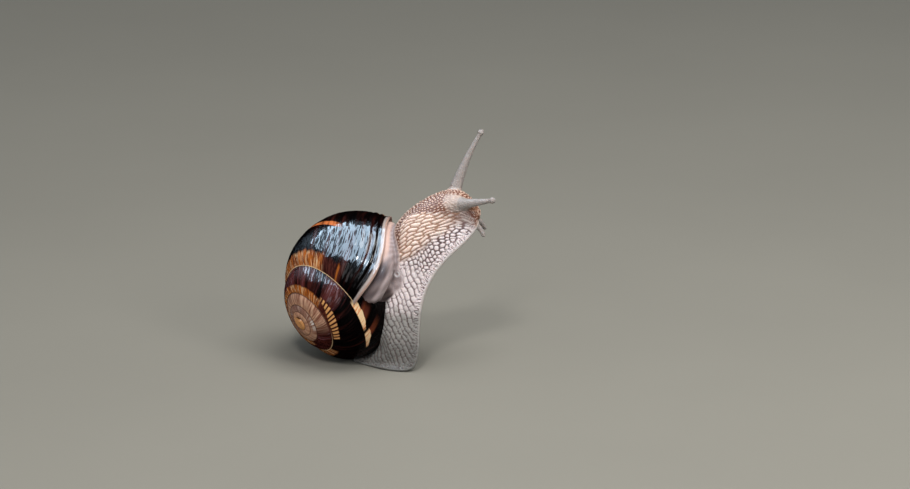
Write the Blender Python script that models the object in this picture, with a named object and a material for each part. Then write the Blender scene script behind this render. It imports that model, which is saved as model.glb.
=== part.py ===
"""Life-size still model of a large dark-banded land snail, rearing up with its head raised.

The snail faces +X, its left side is +Y and the floor is z = 0. The tail and the bend of the
foot lie flat on the floor, the foot then climbs straight up and leans over into the neck, and
the heavy shell rests on the floor behind it. Sizes are in millimetres until a mesh is made.
"""
import math

import bmesh
import bpy
import numpy as np
from mathutils import Matrix, Vector

MM = 0.001
TURN = 2 * math.pi
GAP = 0.3             # cut between two neighbouring pieces
SMALL_GAP = 0.2       # cut between a feeler and its eye

# ---- shell: a tube of elliptic section that winds and grows round the axis -------------------
APEX = Vector((-27.64, -5.55, 13.9))    # tip of the spire
AXIS_HEADING = math.radians(217.17)     # the axis points from the base to the apex
AXIS_DIP = math.radians(18.54)
LIP_ROLL = math.radians(18.4)           # turns the lip's upper end round the axis
WHORLS = 5.2                            # turns from the first whorl to the lip
GROWTH = 0.353                          # the tube grows by a factor e^0.353 in each turn
TUBE_ORBIT = 11.85                      # at the lip: tube's centre to the axis
TUBE_ACROSS = 13.75                     # at the lip: half-width of the tube, out from the axis
TUBE_ALONG = 17.66                      # at the lip: half-height of the tube, along the axis
DROP = 20.47                            # at the lip: tube's centre below the apex, even part
LAST_DROP = 7.08                        # and the part that only the last whorl has
LAST_DROP_POWER = 4.37
LIP_LEAN = 0.455                        # growth lines trail back by this much per radian down
LIP_BOW = 0.085                         # and bow forward by up to this angle
LIP_BOW_END = 1.7                       # until this many radians down
NUCLEUS = 0.4                           # the first whorl starts at this share of its size
NUCLEUS_TURNS = 1.2                     # and has its full share after this many turns
NUCLEUS_INSET = 0.55                    # at its start the tube is drawn in towards the axis
NUCLEUS_INSET_TURNS = 0.35
APEX_EDGE = math.radians(100)           # the first whorl's surface ends here, under the cap
COLUMELLA_RADIUS = 1.6
LIP_THICKNESS = 1.1
LIP_FLARE = 0.5                         # the lip turns out by this much
CALLUS = 0.35                           # thin glaze on the whorl inside the mouth
CALLUS_EDGE = math.radians(4)           # the glaze starts this far behind the lip
MOUTH_DEPTH = math.radians(20)          # how far the mouth is open behind the lip
INNER_WALL = math.radians(150)          # arc of the inner whorl that closes the mouth
RINGS_PER_TURN = 36
BAND_STEPS = 8                          # quads between two sutures
BASE_STEPS = 10                         # quads from the last suture's level to the columella
COLUMELLA_STEPS = 5
HALVINGS = 30                           # steps of each bisection for a suture
REPEATS = 12                            # steps of each fixed-point search

# ---- soft body: sections from sole to back, from the tail's tip to the mouth ------------------
# sole x, sole z, back x, back z, half-width of the sole, half-width of the body, side step
SECTIONS = (
    (-11.0, 0.0, -11.0, 0.7, 0.9, 0.6, 1.0),       # tip of the tail
    (-8.8, 0.0, -9.0, 1.5, 3.0, 2.4, 0.8),
    (-5.6, 0.0, -6.2, 2.8, 5.8, 4.8, 0.5),
    (-1.6, 0.0, -4.2, 5.2, 8.4, 7.2, 0.2),
    (3.0, 0.0, -3.4, 8.0, 10.0, 8.4, 0.0),         # last of the sole on the floor
    (7.3, 1.2, -4.0, 11.0, 10.4, 9.2, 0.0),        # the bend
    (8.9, 5.8, -4.4, 14.4, 10.3, 9.4, 0.0),
    (9.2, 12.6, -4.4, 18.4, 9.9, 9.2, 0.0),
    (9.9, 20.0, -2.6, 23.8, 9.4, 8.8, 0.0),        # the climbing foot
    (11.6, 25.8, -1.0, 29.6, 9.0, 8.4, 0.0),
    (14.4, 31.0, 0.2, 36.2, 8.6, 8.0, 0.0),        # neck, where it leaves the mantle
    (18.0, 35.4, 1.8, 42.8, 8.3, 7.6, 0.0),
    (21.4, 38.6, 6.0, 48.0, 8.0, 7.1, 0.0),
    (24.2, 41.3, 11.8, 52.0, 7.5, 6.4, 0.0),
    (25.6, 42.9, 17.2, 54.2, 6.9, 5.7, 0.0),       # head, behind the upper feelers
    (26.3, 43.6, 21.6, 54.0, 6.2, 5.0, 0.0),
    (26.6, 44.1, 25.0, 51.6, 5.4, 4.2, 0.0),
    (26.8, 44.6, 27.0, 48.8, 4.4, 3.4, 0.0),
    (26.9, 45.0, 27.5, 46.8, 3.0, 2.3, 0.0),       # front of the head, over the mouth
)
TAIL_END = 3.3            # section numbers where the body is parted
FOOT_END = 9.2
NECK_END = 13.4
HALF_POINTS = 10          # points from the middle of the sole to the middle of the back
SOLE_MARGIN = 0.9         # rounding at the edge of the sole
FLANK_LEVEL = 0.42        # the flank is upright at this share of the height
FLANK_POWER = 0.76        # below 1 the back is fuller than an ellipse
FLANK_LEAN = 0.45         # low on the flank, how much of the sole's extra width is left
FLANK_LOW = 0.4           # and how far up towards the upright level that is
TRUNK = (5.0, 15.0, 20)   # lengths that cut their neighbours: from, to, rings
NAPE = (10.0, 18.0, 24)

# ---- mantle collar: fills the mouth of the shell round the neck; front as (scale, push) -------
COLLAR_DEPTH = math.radians(13)
COLLAR_FRONT = ((1.0, 0.3), (1.05, 1.4), (1.07, 3.2), (1.03, 5.0), (0.90, 6.6), (0.5, 7.4))
COLLAR_TOP_SHARE = 0.55   # the collar stands out less at its upper edge
INNER_START = math.radians(-295)        # the whorl behind the mouth, for fitting the collar
INNER_RINGS = 28
INNER_SIDES = 24

# ---- feelers: (root, middle, tip), radii along them, sides ----------------------------------
UPPER_LEFT = ((18.7, 3.2, 49.6), (22.2, 4.6, 60.0), (27.3, 6.2, 70.2))
UPPER_RIGHT = ((18.6, -2.4, 50.6), (25.0, -6.2, 52.3), (30.5, -9.2, 53.9))
LOWER_LEFT = ((24.8, 2.6, 45.4), (27.4, 3.9, 43.4), (28.8, 4.6, 41.2))
LOWER_RIGHT = ((24.8, -2.6, 45.4), (27.2, -3.9, 43.7), (28.4, -4.6, 41.7))
UPPER_RADII = (2.7, 2.3, 1.95, 1.65, 1.4, 1.22, 1.08, 0.95, 0.83, 0.74)
LOWER_RADII = (1.3, 1.1, 0.95, 0.82, 0.74, 0.70, 0.68)
BULB_RADIUS = 0.95
BULB_RINGS = 5
TIP_TURNS = (math.radians(33), math.radians(62))    # rings that round off a tip or a socket
UPPER_SIDES = 12
LOWER_SIDES = 8
EYE_RADIUS = 0.4


def add_object(name, bm, material, smooth_angle=50):
    """Scale a mesh from millimetres to metres, close it and give it a material."""
    bmesh.ops.scale(bm, vec=(MM, MM, MM), verts=bm.verts)
    bmesh.ops.recalc_face_normals(bm, faces=bm.faces)
    mesh = bpy.data.meshes.new(name)
    bm.to_mesh(mesh)
    bm.free()
    mesh.shade_smooth()
    mesh.set_sharp_from_angle(angle=math.radians(smooth_angle))
    obj = bpy.data.objects.new(name, mesh)
    bpy.context.scene.collection.objects.link(obj)
    obj.data.materials.append(material)
    return obj


def make_material(name, colour, roughness):
    """A Principled material of one colour."""
    material = bpy.data.materials.new(name)
    material.use_nodes = True
    shader = material.node_tree.nodes["Principled BSDF"]
    shader.inputs["Base Color"].default_value = (*colour, 1)
    shader.inputs["Roughness"].default_value = roughness
    shader.inputs["Metallic"].default_value = 0.0
    return material


def cut_away(obj, cutter):
    """Subtract a hidden cutter from an object."""
    cutter.hide_render = True
    cutter.display_type = "WIRE"
    boolean = obj.modifiers.new("cut by " + cutter.name, "BOOLEAN")
    boolean.operation = "DIFFERENCE"
    boolean.solver = "EXACT"
    boolean.object = cutter


def bridge(bm, rings, closed=True):
    """Join rings of equal length with quads."""
    for ring, following in zip(rings, rings[1:]):
        count = len(ring)
        for i in range(count if closed else count - 1):
            j = (i + 1) % count
            corners = (ring[i], ring[j], following[j], following[i])
            corners = [v for n, v in enumerate(corners) if v not in corners[:n]]
            if len(corners) > 2:
                bm.faces.new(corners)


def cap(bm, ring):
    """Close a ring with a fan round its centre."""
    centre = bm.verts.new(sum((v.co for v in ring), Vector()) / len(ring))
    for i, vert in enumerate(ring):
        bm.faces.new((vert, ring[(i + 1) % len(ring)], centre))


# ---------------------------------------------------------------------------------- the shell
def shell_frame():
    """Directions of the shell: two across the axis, the first one level, and the axis."""
    axis = Vector((math.cos(AXIS_DIP) * math.cos(AXIS_HEADING),
                   math.cos(AXIS_DIP) * math.sin(AXIS_HEADING), -math.sin(AXIS_DIP)))
    across = Vector((0, 0, 1)).cross(axis).normalized()
    return across, axis.cross(across), axis


ACROSS, UPRIGHT, AXIS = shell_frame()


def tube(angle, inset=0.0):
    """Section of the tube at an angle: orbit radius, height and its two half-sizes."""
    turns = angle / TURN
    begun = turns + WHORLS
    grown = min(max(begun / NUCLEUS_TURNS, 0.0), 1.0)
    size = math.exp(GROWTH * turns) * (NUCLEUS + (1 - NUCLEUS) * grown * (2 - grown))
    orbit = TUBE_ORBIT * size * (1 - NUCLEUS_INSET * math.exp(-begun / NUCLEUS_INSET_TURNS))
    height = -DROP * size - LAST_DROP * size ** LAST_DROP_POWER
    return orbit, height, TUBE_ACROSS * size - inset, TUBE_ALONG * size - inset


def section_point(angle, down, inset=0.0):
    """(distance from the axis, height) of the section's point at a direction from outwards."""
    orbit, height, across, along = tube(angle, inset)
    return orbit + across * math.cos(down), height + along * math.sin(down)


def surface_point(angle, down, inset=0.0):
    """Place of a point of the tube's surface."""
    radius, height = section_point(angle, down, inset)
    around = LIP_ROLL - angle
    return APEX + radius * (math.cos(around) * ACROSS + math.sin(around) * UPRIGHT) + height * AXIS


def upper_suture(angle, inset=0.0, callus=0.0):
    """Direction in the section where the tube meets the whorl above it."""
    if angle - TURN < -WHORLS * TURN:
        return APEX_EDGE
    orbit, height, across, along = tube(angle - TURN, -callus)

    def outside(down):
        radius, level = section_point(angle, down, inset)
        return ((radius - orbit) / across) ** 2 + ((level - height) / along) ** 2 - 1

    low, high = 0.0, math.radians(1)
    while outside(high) > 0:
        low, high = high, high + math.radians(1)
    for _ in range(HALVINGS):
        middle = (low + high) / 2
        if outside(middle) > 0:
            low = middle
        else:
            high = middle
    return low


def direction_on(angle, radius, level, outset=0.0):
    """Direction from the section's centre to a point on the section's outline."""
    orbit, height, across, along = tube(angle, -outset)
    return math.atan2((level - height) / along, (radius - orbit) / across)


def lower_suture(angle):
    """Direction in the section where the next whorl's suture runs."""
    radius, level = section_point(angle + TURN, upper_suture(angle + TURN))
    return direction_on(angle, radius, level)


def columella_end(angle):
    """Direction on the underside where the surface reaches the columella."""
    orbit, _, across, _ = tube(angle)
    return -math.acos(min((COLUMELLA_RADIUS - orbit) / across, 1.0))


def lean(down):
    """How far a growth line trails back at so many radians down from its suture."""
    share = min(max(down / LIP_BOW_END, 0.0), 1.0)
    return LIP_LEAN * down - LIP_BOW * math.sin(math.pi * share) ** 2


def trail(angle):
    """How far a growth line trails back between its two sutures."""
    back = 0.0
    for _ in range(REPEATS):
        back = lean(upper_suture(angle) - lower_suture(angle - back))
    return back


def columella_trail(angle):
    """How far a growth line trails back from its suture to the columella."""
    back = 0.0
    for _ in range(REPEATS):
        back = lean(upper_suture(angle) - columella_end(angle - back))
    return back


def ring_angles():
    """Angles of the growth rings at their upper suture, the lip last.

    The ring that starts where another one ends lies RINGS_PER_TURN places after it, so the
    whorls share their suture's vertices.
    """
    first = -TURN
    for _ in range(REPEATS):
        first = -TURN + trail(first)
    angles = [first * (1 - i / RINGS_PER_TURN) for i in range(RINGS_PER_TURN + 1)]
    while angles[0] > -WHORLS * TURN:
        joined = angles[RINGS_PER_TURN - 1] - TURN
        angle = joined
        for _ in range(REPEATS):
            angle = joined + trail(angle)
        angles.insert(0, angle)
    return angles[1:]


def ring_directions(angle):
    """Directions of a growth ring's points, down from its suture to the columella."""
    top = upper_suture(angle)
    bottom = lower_suture(angle - trail(angle))
    end = columella_end(angle - columella_trail(angle))
    band = [top + (bottom - top) * i / BAND_STEPS for i in range(BAND_STEPS)]
    return band + [bottom + (end - bottom) * i / BASE_STEPS for i in range(BASE_STEPS + 1)]


def mouth_loop(angle, inset=0.0, callus=0.0):
    """Outline of the tube's hollow at a growth ring: outer wall, columella, inner whorl."""
    directions = ring_directions(angle)
    total, end = directions[0], directions[-1]
    start = upper_suture(angle, inset, callus)
    outer = []
    for direction in directions:
        down = end + (direction - end) * (start - end) / (total - end)
        outer.append(surface_point(angle - lean(total - down), down, inset))
    corner = section_point(angle - lean(total - start), start, inset)
    inner_angle = angle - TURN - lean(total - start)
    inner_start = direction_on(inner_angle, *corner, callus)
    inner = []
    inner_end = columella_end(inner_angle - LIP_LEAN * (inner_start + INNER_WALL))
    for i in range(BASE_STEPS, 0, -1):
        down = inner_start + (inner_end - inner_start) * i / BASE_STEPS
        behind = LIP_LEAN * (inner_start - down) + CALLUS_EDGE * min(i / 3, 1.0)
        inner.append(surface_point(inner_angle - behind, down, -callus))
    columella = [outer[-1].lerp(inner[0], i / COLUMELLA_STEPS) for i in range(1, COLUMELLA_STEPS)]
    return outer + columella + inner


def shell_surface(bm, angles, grow=0.0):
    """Outer surface of all whorls and the closed apex; returns the rings and the parting one.

    From the parting ring on, the rings run down to the columella, since no whorl covers them.
    """
    rings = [[] for _ in angles]
    for number in reversed(range(len(angles))):
        angle = angles[number]
        outset = grow + (LIP_FLARE if number == len(angles) - 1 else 0.0)
        directions = ring_directions(angle)
        top = directions[0]
        ring = [bm.verts.new(surface_point(angle, top, -grow))]
        joined = number + RINGS_PER_TURN
        covered = joined < len(angles)
        for i, down in enumerate(directions[1:], 1):
            if i == BAND_STEPS and covered:
                ring.append(rings[joined][0])
            elif i < BAND_STEPS or joined >= len(angles) - 1:
                place = surface_point(angle - lean(top - down), down, -outset)
                ring.append(bm.verts.new(place))
        rings[number] = ring
    parting = len(rings) - 1 - RINGS_PER_TURN
    for ring, following in zip(rings[:parting], rings[1:parting + 1]):
        bridge(bm, (ring[:BAND_STEPS + 1], following[:BAND_STEPS + 1]), closed=False)
    bridge(bm, rings[parting:], closed=False)
    cap(bm, [ring[0] for ring in rings[:RINGS_PER_TURN + 1]] + rings[0][BAND_STEPS - 1:0:-1])
    return rings, parting


def build_shell(material):
    """The whole shell with its mouth opened behind the lip."""
    bm = bmesh.new()
    rings, parting = shell_surface(bm, ring_angles())

    # the lip is a rim of even thickness, and the hollow behind it ends in a wall
    lip, inner_edge = rings[-1], rings[parting]
    columella = [bm.verts.new(lip[-1].co.lerp(inner_edge[-1].co, i / COLUMELLA_STEPS))
                 for i in range(1, COLUMELLA_STEPS)]
    mouth = [lip + columella + inner_edge[:BAND_STEPS:-1]]
    for back in (0.0, MOUTH_DEPTH / 2, MOUTH_DEPTH):
        points = mouth_loop(-back, LIP_THICKNESS, CALLUS)
        mouth.append([bm.verts.new(point) for point in points])
    bridge(bm, mouth)
    cap(bm, mouth[-1])

    # the navel is closed round the foot of the columella
    cap(bm, [ring[-1] for ring in rings[parting:]] + columella)

    # a small flat where the shell rests on the floor
    geometry = bm.verts[:] + bm.edges[:] + bm.faces[:]
    bmesh.ops.bisect_plane(bm, geom=geometry, plane_co=(0, 0, 0), plane_no=(0, 0, -1),
                           clear_outer=True)
    bmesh.ops.holes_fill(bm, edges=[e for e in bm.edges if e.is_boundary])
    bmesh.ops.triangulate(bm, faces=[f for f in bm.faces if len(f.verts) > 4])
    return add_object("shell", bm, material, smooth_angle=70)


def build_shell_cutter():
    """The shell grown by the gap and closed at the mouth, for fitting the flesh to it."""
    bm = bmesh.new()
    rings, parting = shell_surface(bm, ring_angles(), GAP)
    cap(bm, rings[-1] + rings[parting][:BAND_STEPS:-1])
    cap(bm, [ring[-1] for ring in rings[parting:]])
    return add_object("shell_cutter", bm, None)


def build_inner_whorl_cutter():
    """The whorl that the mouth rests on, grown by its glaze and the gap, as a plain tube."""
    bm = bmesh.new()
    rings = []
    for step in range(INNER_RINGS):
        angle = INNER_START - TURN * step / RINGS_PER_TURN
        points = []
        for i in range(INNER_SIDES):
            radius, height = section_point(angle, TURN * i / INNER_SIDES, -(CALLUS + GAP))
            around = LIP_ROLL - angle
            outward = math.cos(around) * ACROSS + math.sin(around) * UPRIGHT
            points.append(APEX + max(radius, GAP) * outward + height * AXIS)
        rings.append([bm.verts.new(point) for point in points])
    bridge(bm, rings)
    cap(bm, rings[0])
    cap(bm, rings[-1])
    return add_object("inner_whorl_cutter", bm, None)


# ----------------------------------------------------------------------------- the soft body
def smooth_value(table, at):
    """Catmull-Rom interpolation between the rows of a table."""
    last = len(table) - 1
    index = min(int(at), last - 1)
    part = at - index
    rows = [np.array(table[min(max(index + step, 0), last)]) for step in (-1, 0, 1, 2)]
    return 0.5 * (2 * rows[1] + (rows[2] - rows[0]) * part
                  + (2 * rows[0] - 5 * rows[1] + 4 * rows[2] - rows[3]) * part ** 2
                  + (3 * rows[1] - rows[0] - 3 * rows[2] + rows[3]) * part ** 3)


def body_ring(at, grow=0.0):
    """Closed ring of points round the body at a section number, grown outwards if asked."""
    sole_x, sole_z, back_x, back_z, sole_half, flank_half, side = smooth_value(SECTIONS, at)
    sole = Vector((sole_x, side, max(sole_z, 0.0)))
    up = Vector((back_x, side, back_z)) - sole
    height = up.length
    up.normalize()
    margin = min(SOLE_MARGIN, 0.3 * height)
    half = [(0, -grow), (0.5 * sole_half, -grow), (sole_half - 0.7 * margin, -grow),
            (sole_half + grow, margin)]
    level = FLANK_LEVEL * height
    half.append((flank_half + grow + FLANK_LEAN * (sole_half - flank_half),
                 margin + FLANK_LOW * (level - margin)))
    steps = HALF_POINTS - len(half)
    for i in range(steps + 1):
        turn = math.radians(90) * i / steps
        half.append(((flank_half + grow) * math.cos(turn) ** FLANK_POWER,
                     level + (height - level + grow) * math.sin(turn) ** FLANK_POWER))
    half[-1] = (0, height + grow)
    outline = half + [(-x, y) for x, y in half[-2:0:-1]]
    return [sole + up * y + Vector((0, x, 0)) for x, y in outline]


def body_length(bm, start, end, count, grow=0.0):
    """A closed length of the body between two section numbers."""
    rings = []
    for i in range(count + 1):
        points = body_ring(start + (end - start) * i / count, grow)
        rings.append([bm.verts.new(point) for point in points])
    bridge(bm, rings)
    cap(bm, rings[0])
    cap(bm, rings[-1])


def half_gap(at, step=0.1):
    """Half a gap, measured in section numbers."""
    change = smooth_value(SECTIONS, at + step / 2) - smooth_value(SECTIONS, at - step / 2)
    sole_move, back_move = math.hypot(change[0], change[1]), math.hypot(change[2], change[3])
    return step * GAP / 2 / min(sole_move, back_move)


def build_body(material):
    """Tail, foot, neck and head, parted by thin cuts."""
    last = len(SECTIONS) - 1
    cuts = ((0.0, "tail", 7), (TAIL_END, "foot", 15), (FOOT_END, "neck", 10),
            (NECK_END, "head", 12))    # where each starts, and its rings
    pieces = {}
    for number, (start, name, count) in enumerate(cuts):
        end = cuts[number + 1][0] if number + 1 < len(cuts) else last
        begin = start + half_gap(start) if number else start
        finish = end - half_gap(end) if end < last else end
        bm = bmesh.new()
        body_length(bm, begin, finish, count)
        pieces[name] = add_object(name, bm, material)
    return pieces


def build_cutter(name, start, end, count):
    """A length of the body, grown by the gap, for cutting its neighbours."""
    bm = bmesh.new()
    body_length(bm, start, end, count, GAP)
    return add_object(name, bm, None)


def build_collar(material):
    """The mantle's thick edge, a plug in the shell's mouth with a rounded front."""
    bm = bmesh.new()
    inset = LIP_THICKNESS + GAP
    callus = CALLUS + GAP
    loops = [mouth_loop(-COLLAR_DEPTH, inset, callus), mouth_loop(-COLLAR_DEPTH / 2, inset, callus)]
    rim = mouth_loop(0.0, inset, callus)
    centre = sum(rim, Vector()) / len(rim)
    facing = Vector()
    for i, point in enumerate(rim):
        facing += (point - centre).cross(rim[(i + 1) % len(rim)] - centre)
    facing.normalize()
    if facing.x < 0:
        facing.negate()
    bottom, top = min(point.z for point in rim), max(point.z for point in rim)
    for scale, push in COLLAR_FRONT:
        loop = []
        for point in rim:
            share = 1 - (1 - COLLAR_TOP_SHARE) * (point.z - bottom) / (top - bottom)
            spread = 1 + (scale - 1) * (share if scale > 1 else 1)
            loop.append(centre + (point - centre) * spread + facing * push * share)
        loops.append(loop)
    rings = [[bm.verts.new(point) for point in loop] for loop in loops]
    bridge(bm, rings)
    cap(bm, rings[0])
    cap(bm, rings[-1])
    return add_object("mantle_collar", bm, material)


# -------------------------------------------------------------------------- feelers and eyes
def feeler_points(points, count):
    """Points along a gently bent feeler, from root to tip."""
    root, middle, tip = (Vector(point) for point in points)
    bend = 2 * middle - (root + tip) / 2
    return [root * (1 - t) ** 2 + bend * 2 * t * (1 - t) + tip * t ** 2
            for t in (i / (count - 1) for i in range(count))]


def build_feeler(name, points, radii, sides, material, bulb=0.0):
    """A tapering feeler; an upper one ends in a bulb with a socket for its eye."""
    bm = bmesh.new()
    path = feeler_points(points, len(radii))
    forward = (path[-1] - path[-2]).normalized()
    stations = [(place, radius) for place, radius in zip(path, radii)]
    if bulb:
        socket = EYE_RADIUS + SMALL_GAP
        rim = math.asin(socket / bulb)
        start = math.asin(radii[-1] / bulb)
        centre = path[-1] + forward * bulb * math.cos(start)
        for i in range(1, BULB_RINGS + 1):
            turn = math.pi - start + (rim - math.pi + start) * i / BULB_RINGS
            stations.append((centre + forward * bulb * math.cos(turn), bulb * math.sin(turn)))
        floor = centre + forward * bulb * math.cos(rim)
        for turn in TIP_TURNS:
            stations.append((floor - forward * socket * math.sin(turn), socket * math.cos(turn)))
    else:
        for turn in TIP_TURNS:
            stations.append((path[-1] + forward * radii[-1] * math.sin(turn),
                             radii[-1] * math.cos(turn)))
    rings = []
    for number, (place, radius) in enumerate(stations):
        nearby = min(number, len(path) - 1)
        along = (path[min(nearby + 1, len(path) - 1)] - path[max(nearby - 1, 0)]).normalized()
        if number >= len(path):
            along = forward
        side = along.cross(Vector((0, 1, 0))).normalized()
        other = along.cross(side)
        turns = (TURN * i / sides for i in range(sides))
        rings.append([bm.verts.new(place + radius * (math.cos(t) * side + math.sin(t) * other))
                      for t in turns])
    bridge(bm, rings)
    cap(bm, rings[0])
    cap(bm, rings[-1])
    return add_object(name, bm, material)


def build_eye(name, points, radii, material):
    """The dark bead at the tip of an upper feeler."""
    bm = bmesh.new()
    path = feeler_points(points, len(radii))
    forward = (path[-1] - path[-2]).normalized()
    rim = math.asin((EYE_RADIUS + SMALL_GAP) / BULB_RADIUS)
    start = math.asin(radii[-1] / BULB_RADIUS)
    centre = path[-1] + forward * BULB_RADIUS * (math.cos(start) + math.cos(rim))
    bmesh.ops.create_uvsphere(bm, u_segments=10, v_segments=7, radius=EYE_RADIUS,
                              matrix=Matrix.Translation(centre))
    return add_object(name, bm, material)


# -------------------------------------------------------------------------------- the model
for old in list(bpy.data.objects):
    bpy.data.objects.remove(old, do_unlink=True)

shell_finish = make_material("shell", (0.05, 0.02, 0.012), 0.25)
skin_finish = make_material("skin", (0.55, 0.42, 0.34), 0.5)
collar_finish = make_material("mantle", (0.42, 0.33, 0.30), 0.4)
feeler_finish = make_material("feeler", (0.50, 0.48, 0.46), 0.4)
eye_finish = make_material("eye", (0.02, 0.02, 0.02), 0.15)

shell = build_shell(shell_finish)
body = build_body(skin_finish)
collar = build_collar(collar_finish)
trunk_cutter = build_cutter("trunk_cutter", *TRUNK)
cut_away(collar, trunk_cutter)
inner_whorl_cutter = build_inner_whorl_cutter()
cut_away(collar, inner_whorl_cutter)
shell_cutter = build_shell_cutter()
for part_name in ("tail", "foot", "neck"):
    cut_away(body[part_name], shell_cutter)

pieces = [shell, collar, *body.values(), trunk_cutter, inner_whorl_cutter, shell_cutter]
head_cutter = build_cutter("head_cutter", *NAPE)
pieces.append(head_cutter)
for feeler_name, feeler_path in (("left", UPPER_LEFT), ("right", UPPER_RIGHT)):
    feeler = build_feeler("tentacle_upper_" + feeler_name, feeler_path, UPPER_RADII, UPPER_SIDES,
                          feeler_finish, BULB_RADIUS)
    cut_away(feeler, head_cutter)
    eye = build_eye("eye_" + feeler_name, feeler_path, UPPER_RADII, eye_finish)
    pieces += [feeler, eye]
for feeler_name, feeler_path in (("left", LOWER_LEFT), ("right", LOWER_RIGHT)):
    feeler = build_feeler("tentacle_lower_" + feeler_name, feeler_path, LOWER_RADII, LOWER_SIDES,
                          feeler_finish)
    cut_away(feeler, head_cutter)
    pieces.append(feeler)

# the model's origin is on the floor, under the middle of its outer box
shown = [piece for piece in pieces if not piece.hide_render]
corners = np.array([vert.co[:] for piece in shown for vert in piece.data.vertices])
middle = (corners.min(axis=0) + corners.max(axis=0)) / 2
snail = bpy.data.objects.new("snail", None)
snail.location = (-middle[0], -middle[1], 0)
bpy.context.scene.collection.objects.link(snail)
for piece in pieces:
    piece.parent = snail
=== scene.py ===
"""Looks of a life-size model of a dark-banded land snail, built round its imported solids."""

import math

import bmesh
import bpy
import numpy as np
from mathutils import Matrix, Vector
from mathutils.bvhtree import BVHTree


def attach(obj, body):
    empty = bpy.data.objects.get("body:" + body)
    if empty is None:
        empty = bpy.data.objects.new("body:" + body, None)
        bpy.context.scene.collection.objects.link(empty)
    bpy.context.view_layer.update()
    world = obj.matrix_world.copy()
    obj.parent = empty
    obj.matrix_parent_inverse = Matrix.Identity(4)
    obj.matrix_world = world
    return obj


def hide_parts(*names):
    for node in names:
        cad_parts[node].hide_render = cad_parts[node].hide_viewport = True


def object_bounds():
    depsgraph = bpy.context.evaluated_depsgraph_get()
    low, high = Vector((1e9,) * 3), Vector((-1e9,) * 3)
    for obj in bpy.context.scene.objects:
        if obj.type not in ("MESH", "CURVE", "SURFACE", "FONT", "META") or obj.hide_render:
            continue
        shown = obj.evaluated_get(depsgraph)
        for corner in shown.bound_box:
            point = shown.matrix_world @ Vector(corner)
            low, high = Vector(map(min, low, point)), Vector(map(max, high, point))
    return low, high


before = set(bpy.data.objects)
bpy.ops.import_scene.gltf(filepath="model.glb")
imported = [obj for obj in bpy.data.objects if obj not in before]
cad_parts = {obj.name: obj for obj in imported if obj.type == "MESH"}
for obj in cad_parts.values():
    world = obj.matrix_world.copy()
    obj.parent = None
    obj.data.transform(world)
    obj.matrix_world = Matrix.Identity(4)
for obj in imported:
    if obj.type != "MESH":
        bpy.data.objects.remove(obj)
cad_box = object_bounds()

# ------------------------------------------------------------------------------- camera
# The snail is seen from its right side through a long lens, from a little above.
MM = 0.001
CAMERA_TARGET = Vector((19.9, -3.6, 36.5)) * MM
CAMERA_DISTANCE = 1.915
CAMERA_TILT = math.radians(17)      # looks down by this much
LENS_MM = 250
SENSOR_MM = 36

camera_data = bpy.data.cameras.new("camera")
camera_data.lens = LENS_MM
camera_data.sensor_width = SENSOR_MM
camera_data.clip_start, camera_data.clip_end = 0.1, 20
camera = bpy.data.objects.new("camera", camera_data)
camera_back = Vector((0, -math.cos(CAMERA_TILT), math.sin(CAMERA_TILT)))
camera.location = CAMERA_TARGET + camera_back * CAMERA_DISTANCE
camera.rotation_euler = (math.pi / 2 - CAMERA_TILT, 0, 0)
bpy.context.scene.collection.objects.link(camera)
bpy.context.scene.camera = camera
bpy.context.scene.view_settings.view_transform = "Standard"


# -------------------------------------------------------------------------------- floor
# A plain pale studio floor of matt painted board, large enough to fill every view.
# Its paint has only a faint mottle.
FLOOR_HALF = 6.0
FLOOR_PAINT = ((0.235, 0.228, 0.200, 1), (0.262, 0.254, 0.222, 1))


class Wire:
    """A socket of a finish's nodes; arithmetic on it adds Math nodes to the same finish."""

    def __init__(self, tree, socket=None):
        self.tree, self.socket = tree, socket

    def node(self, kind, settings=None, sockets=None, output=0):
        """Add a node: settings first, then its sockets' values or links. A list asks for
        several outputs."""
        made = self.tree.nodes.new("ShaderNode" + kind)
        for name, value in (settings or {}).items():
            setattr(made, name, value)
        for key, value in (sockets or {}).items():
            if isinstance(value, Wire):
                self.tree.links.new(value.socket, made.inputs[key])
            else:
                made.inputs[key].default_value = value
        if isinstance(output, list):
            return [Wire(self.tree, made.outputs[number]) for number in output]
        return Wire(self.tree, made.outputs[output])

    def maths(self, operation, *values):
        return self.node("Math", {"operation": operation}, dict(enumerate(values)))

    def __add__(self, other):
        return self.maths("ADD", self, other)

    def __sub__(self, other):
        return self.maths("SUBTRACT", self, other)

    def __rsub__(self, other):
        return self.maths("SUBTRACT", other, self)

    def __mul__(self, other):
        return self.maths("MULTIPLY", self, other)

    __radd__, __rmul__ = __add__, __mul__

    def __abs__(self):
        return self.maths("ABSOLUTE", self)

    def most(self, other):
        """The larger of two values."""
        return self.maths("MAXIMUM", self, other)

    def rise(self, low, high):
        """0 below low and 1 above high, with a smooth step between."""
        return self.node("MapRange", {"interpolation_type": "SMOOTHSTEP"},
                         {"Value": self, "From Min": low, "From Max": high})

    def between(self, low, full, fall, high):
        """1 from full to fall, with smooth steps down to 0 at low and at high."""
        return self.rise(low, full) * (1 - self.rise(fall, high))

    def over(self, under, cover):
        """This mask lays the cover colour over the one under it."""
        return self.node("Mix", {"data_type": "RGBA"}, {0: self, 6: under, 7: cover}, output=2)


def new_finish(name, **constants):
    """A material with a Principled shader; returns it, its shader and a wire to start from."""
    finish = bpy.data.materials.new(name)
    finish.use_nodes = True
    shader = finish.node_tree.nodes["Principled BSDF"]
    for socket, value in constants.items():
        shader.inputs[socket.replace("_", " ")].default_value = value
    return finish, shader, Wire(finish.node_tree)


def feed(shader, start, **wires):
    """Link wires to the shader's sockets."""
    for socket, wire in wires.items():
        start.tree.links.new(wire.socket, shader.inputs[socket.replace("_", " ")])


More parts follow.
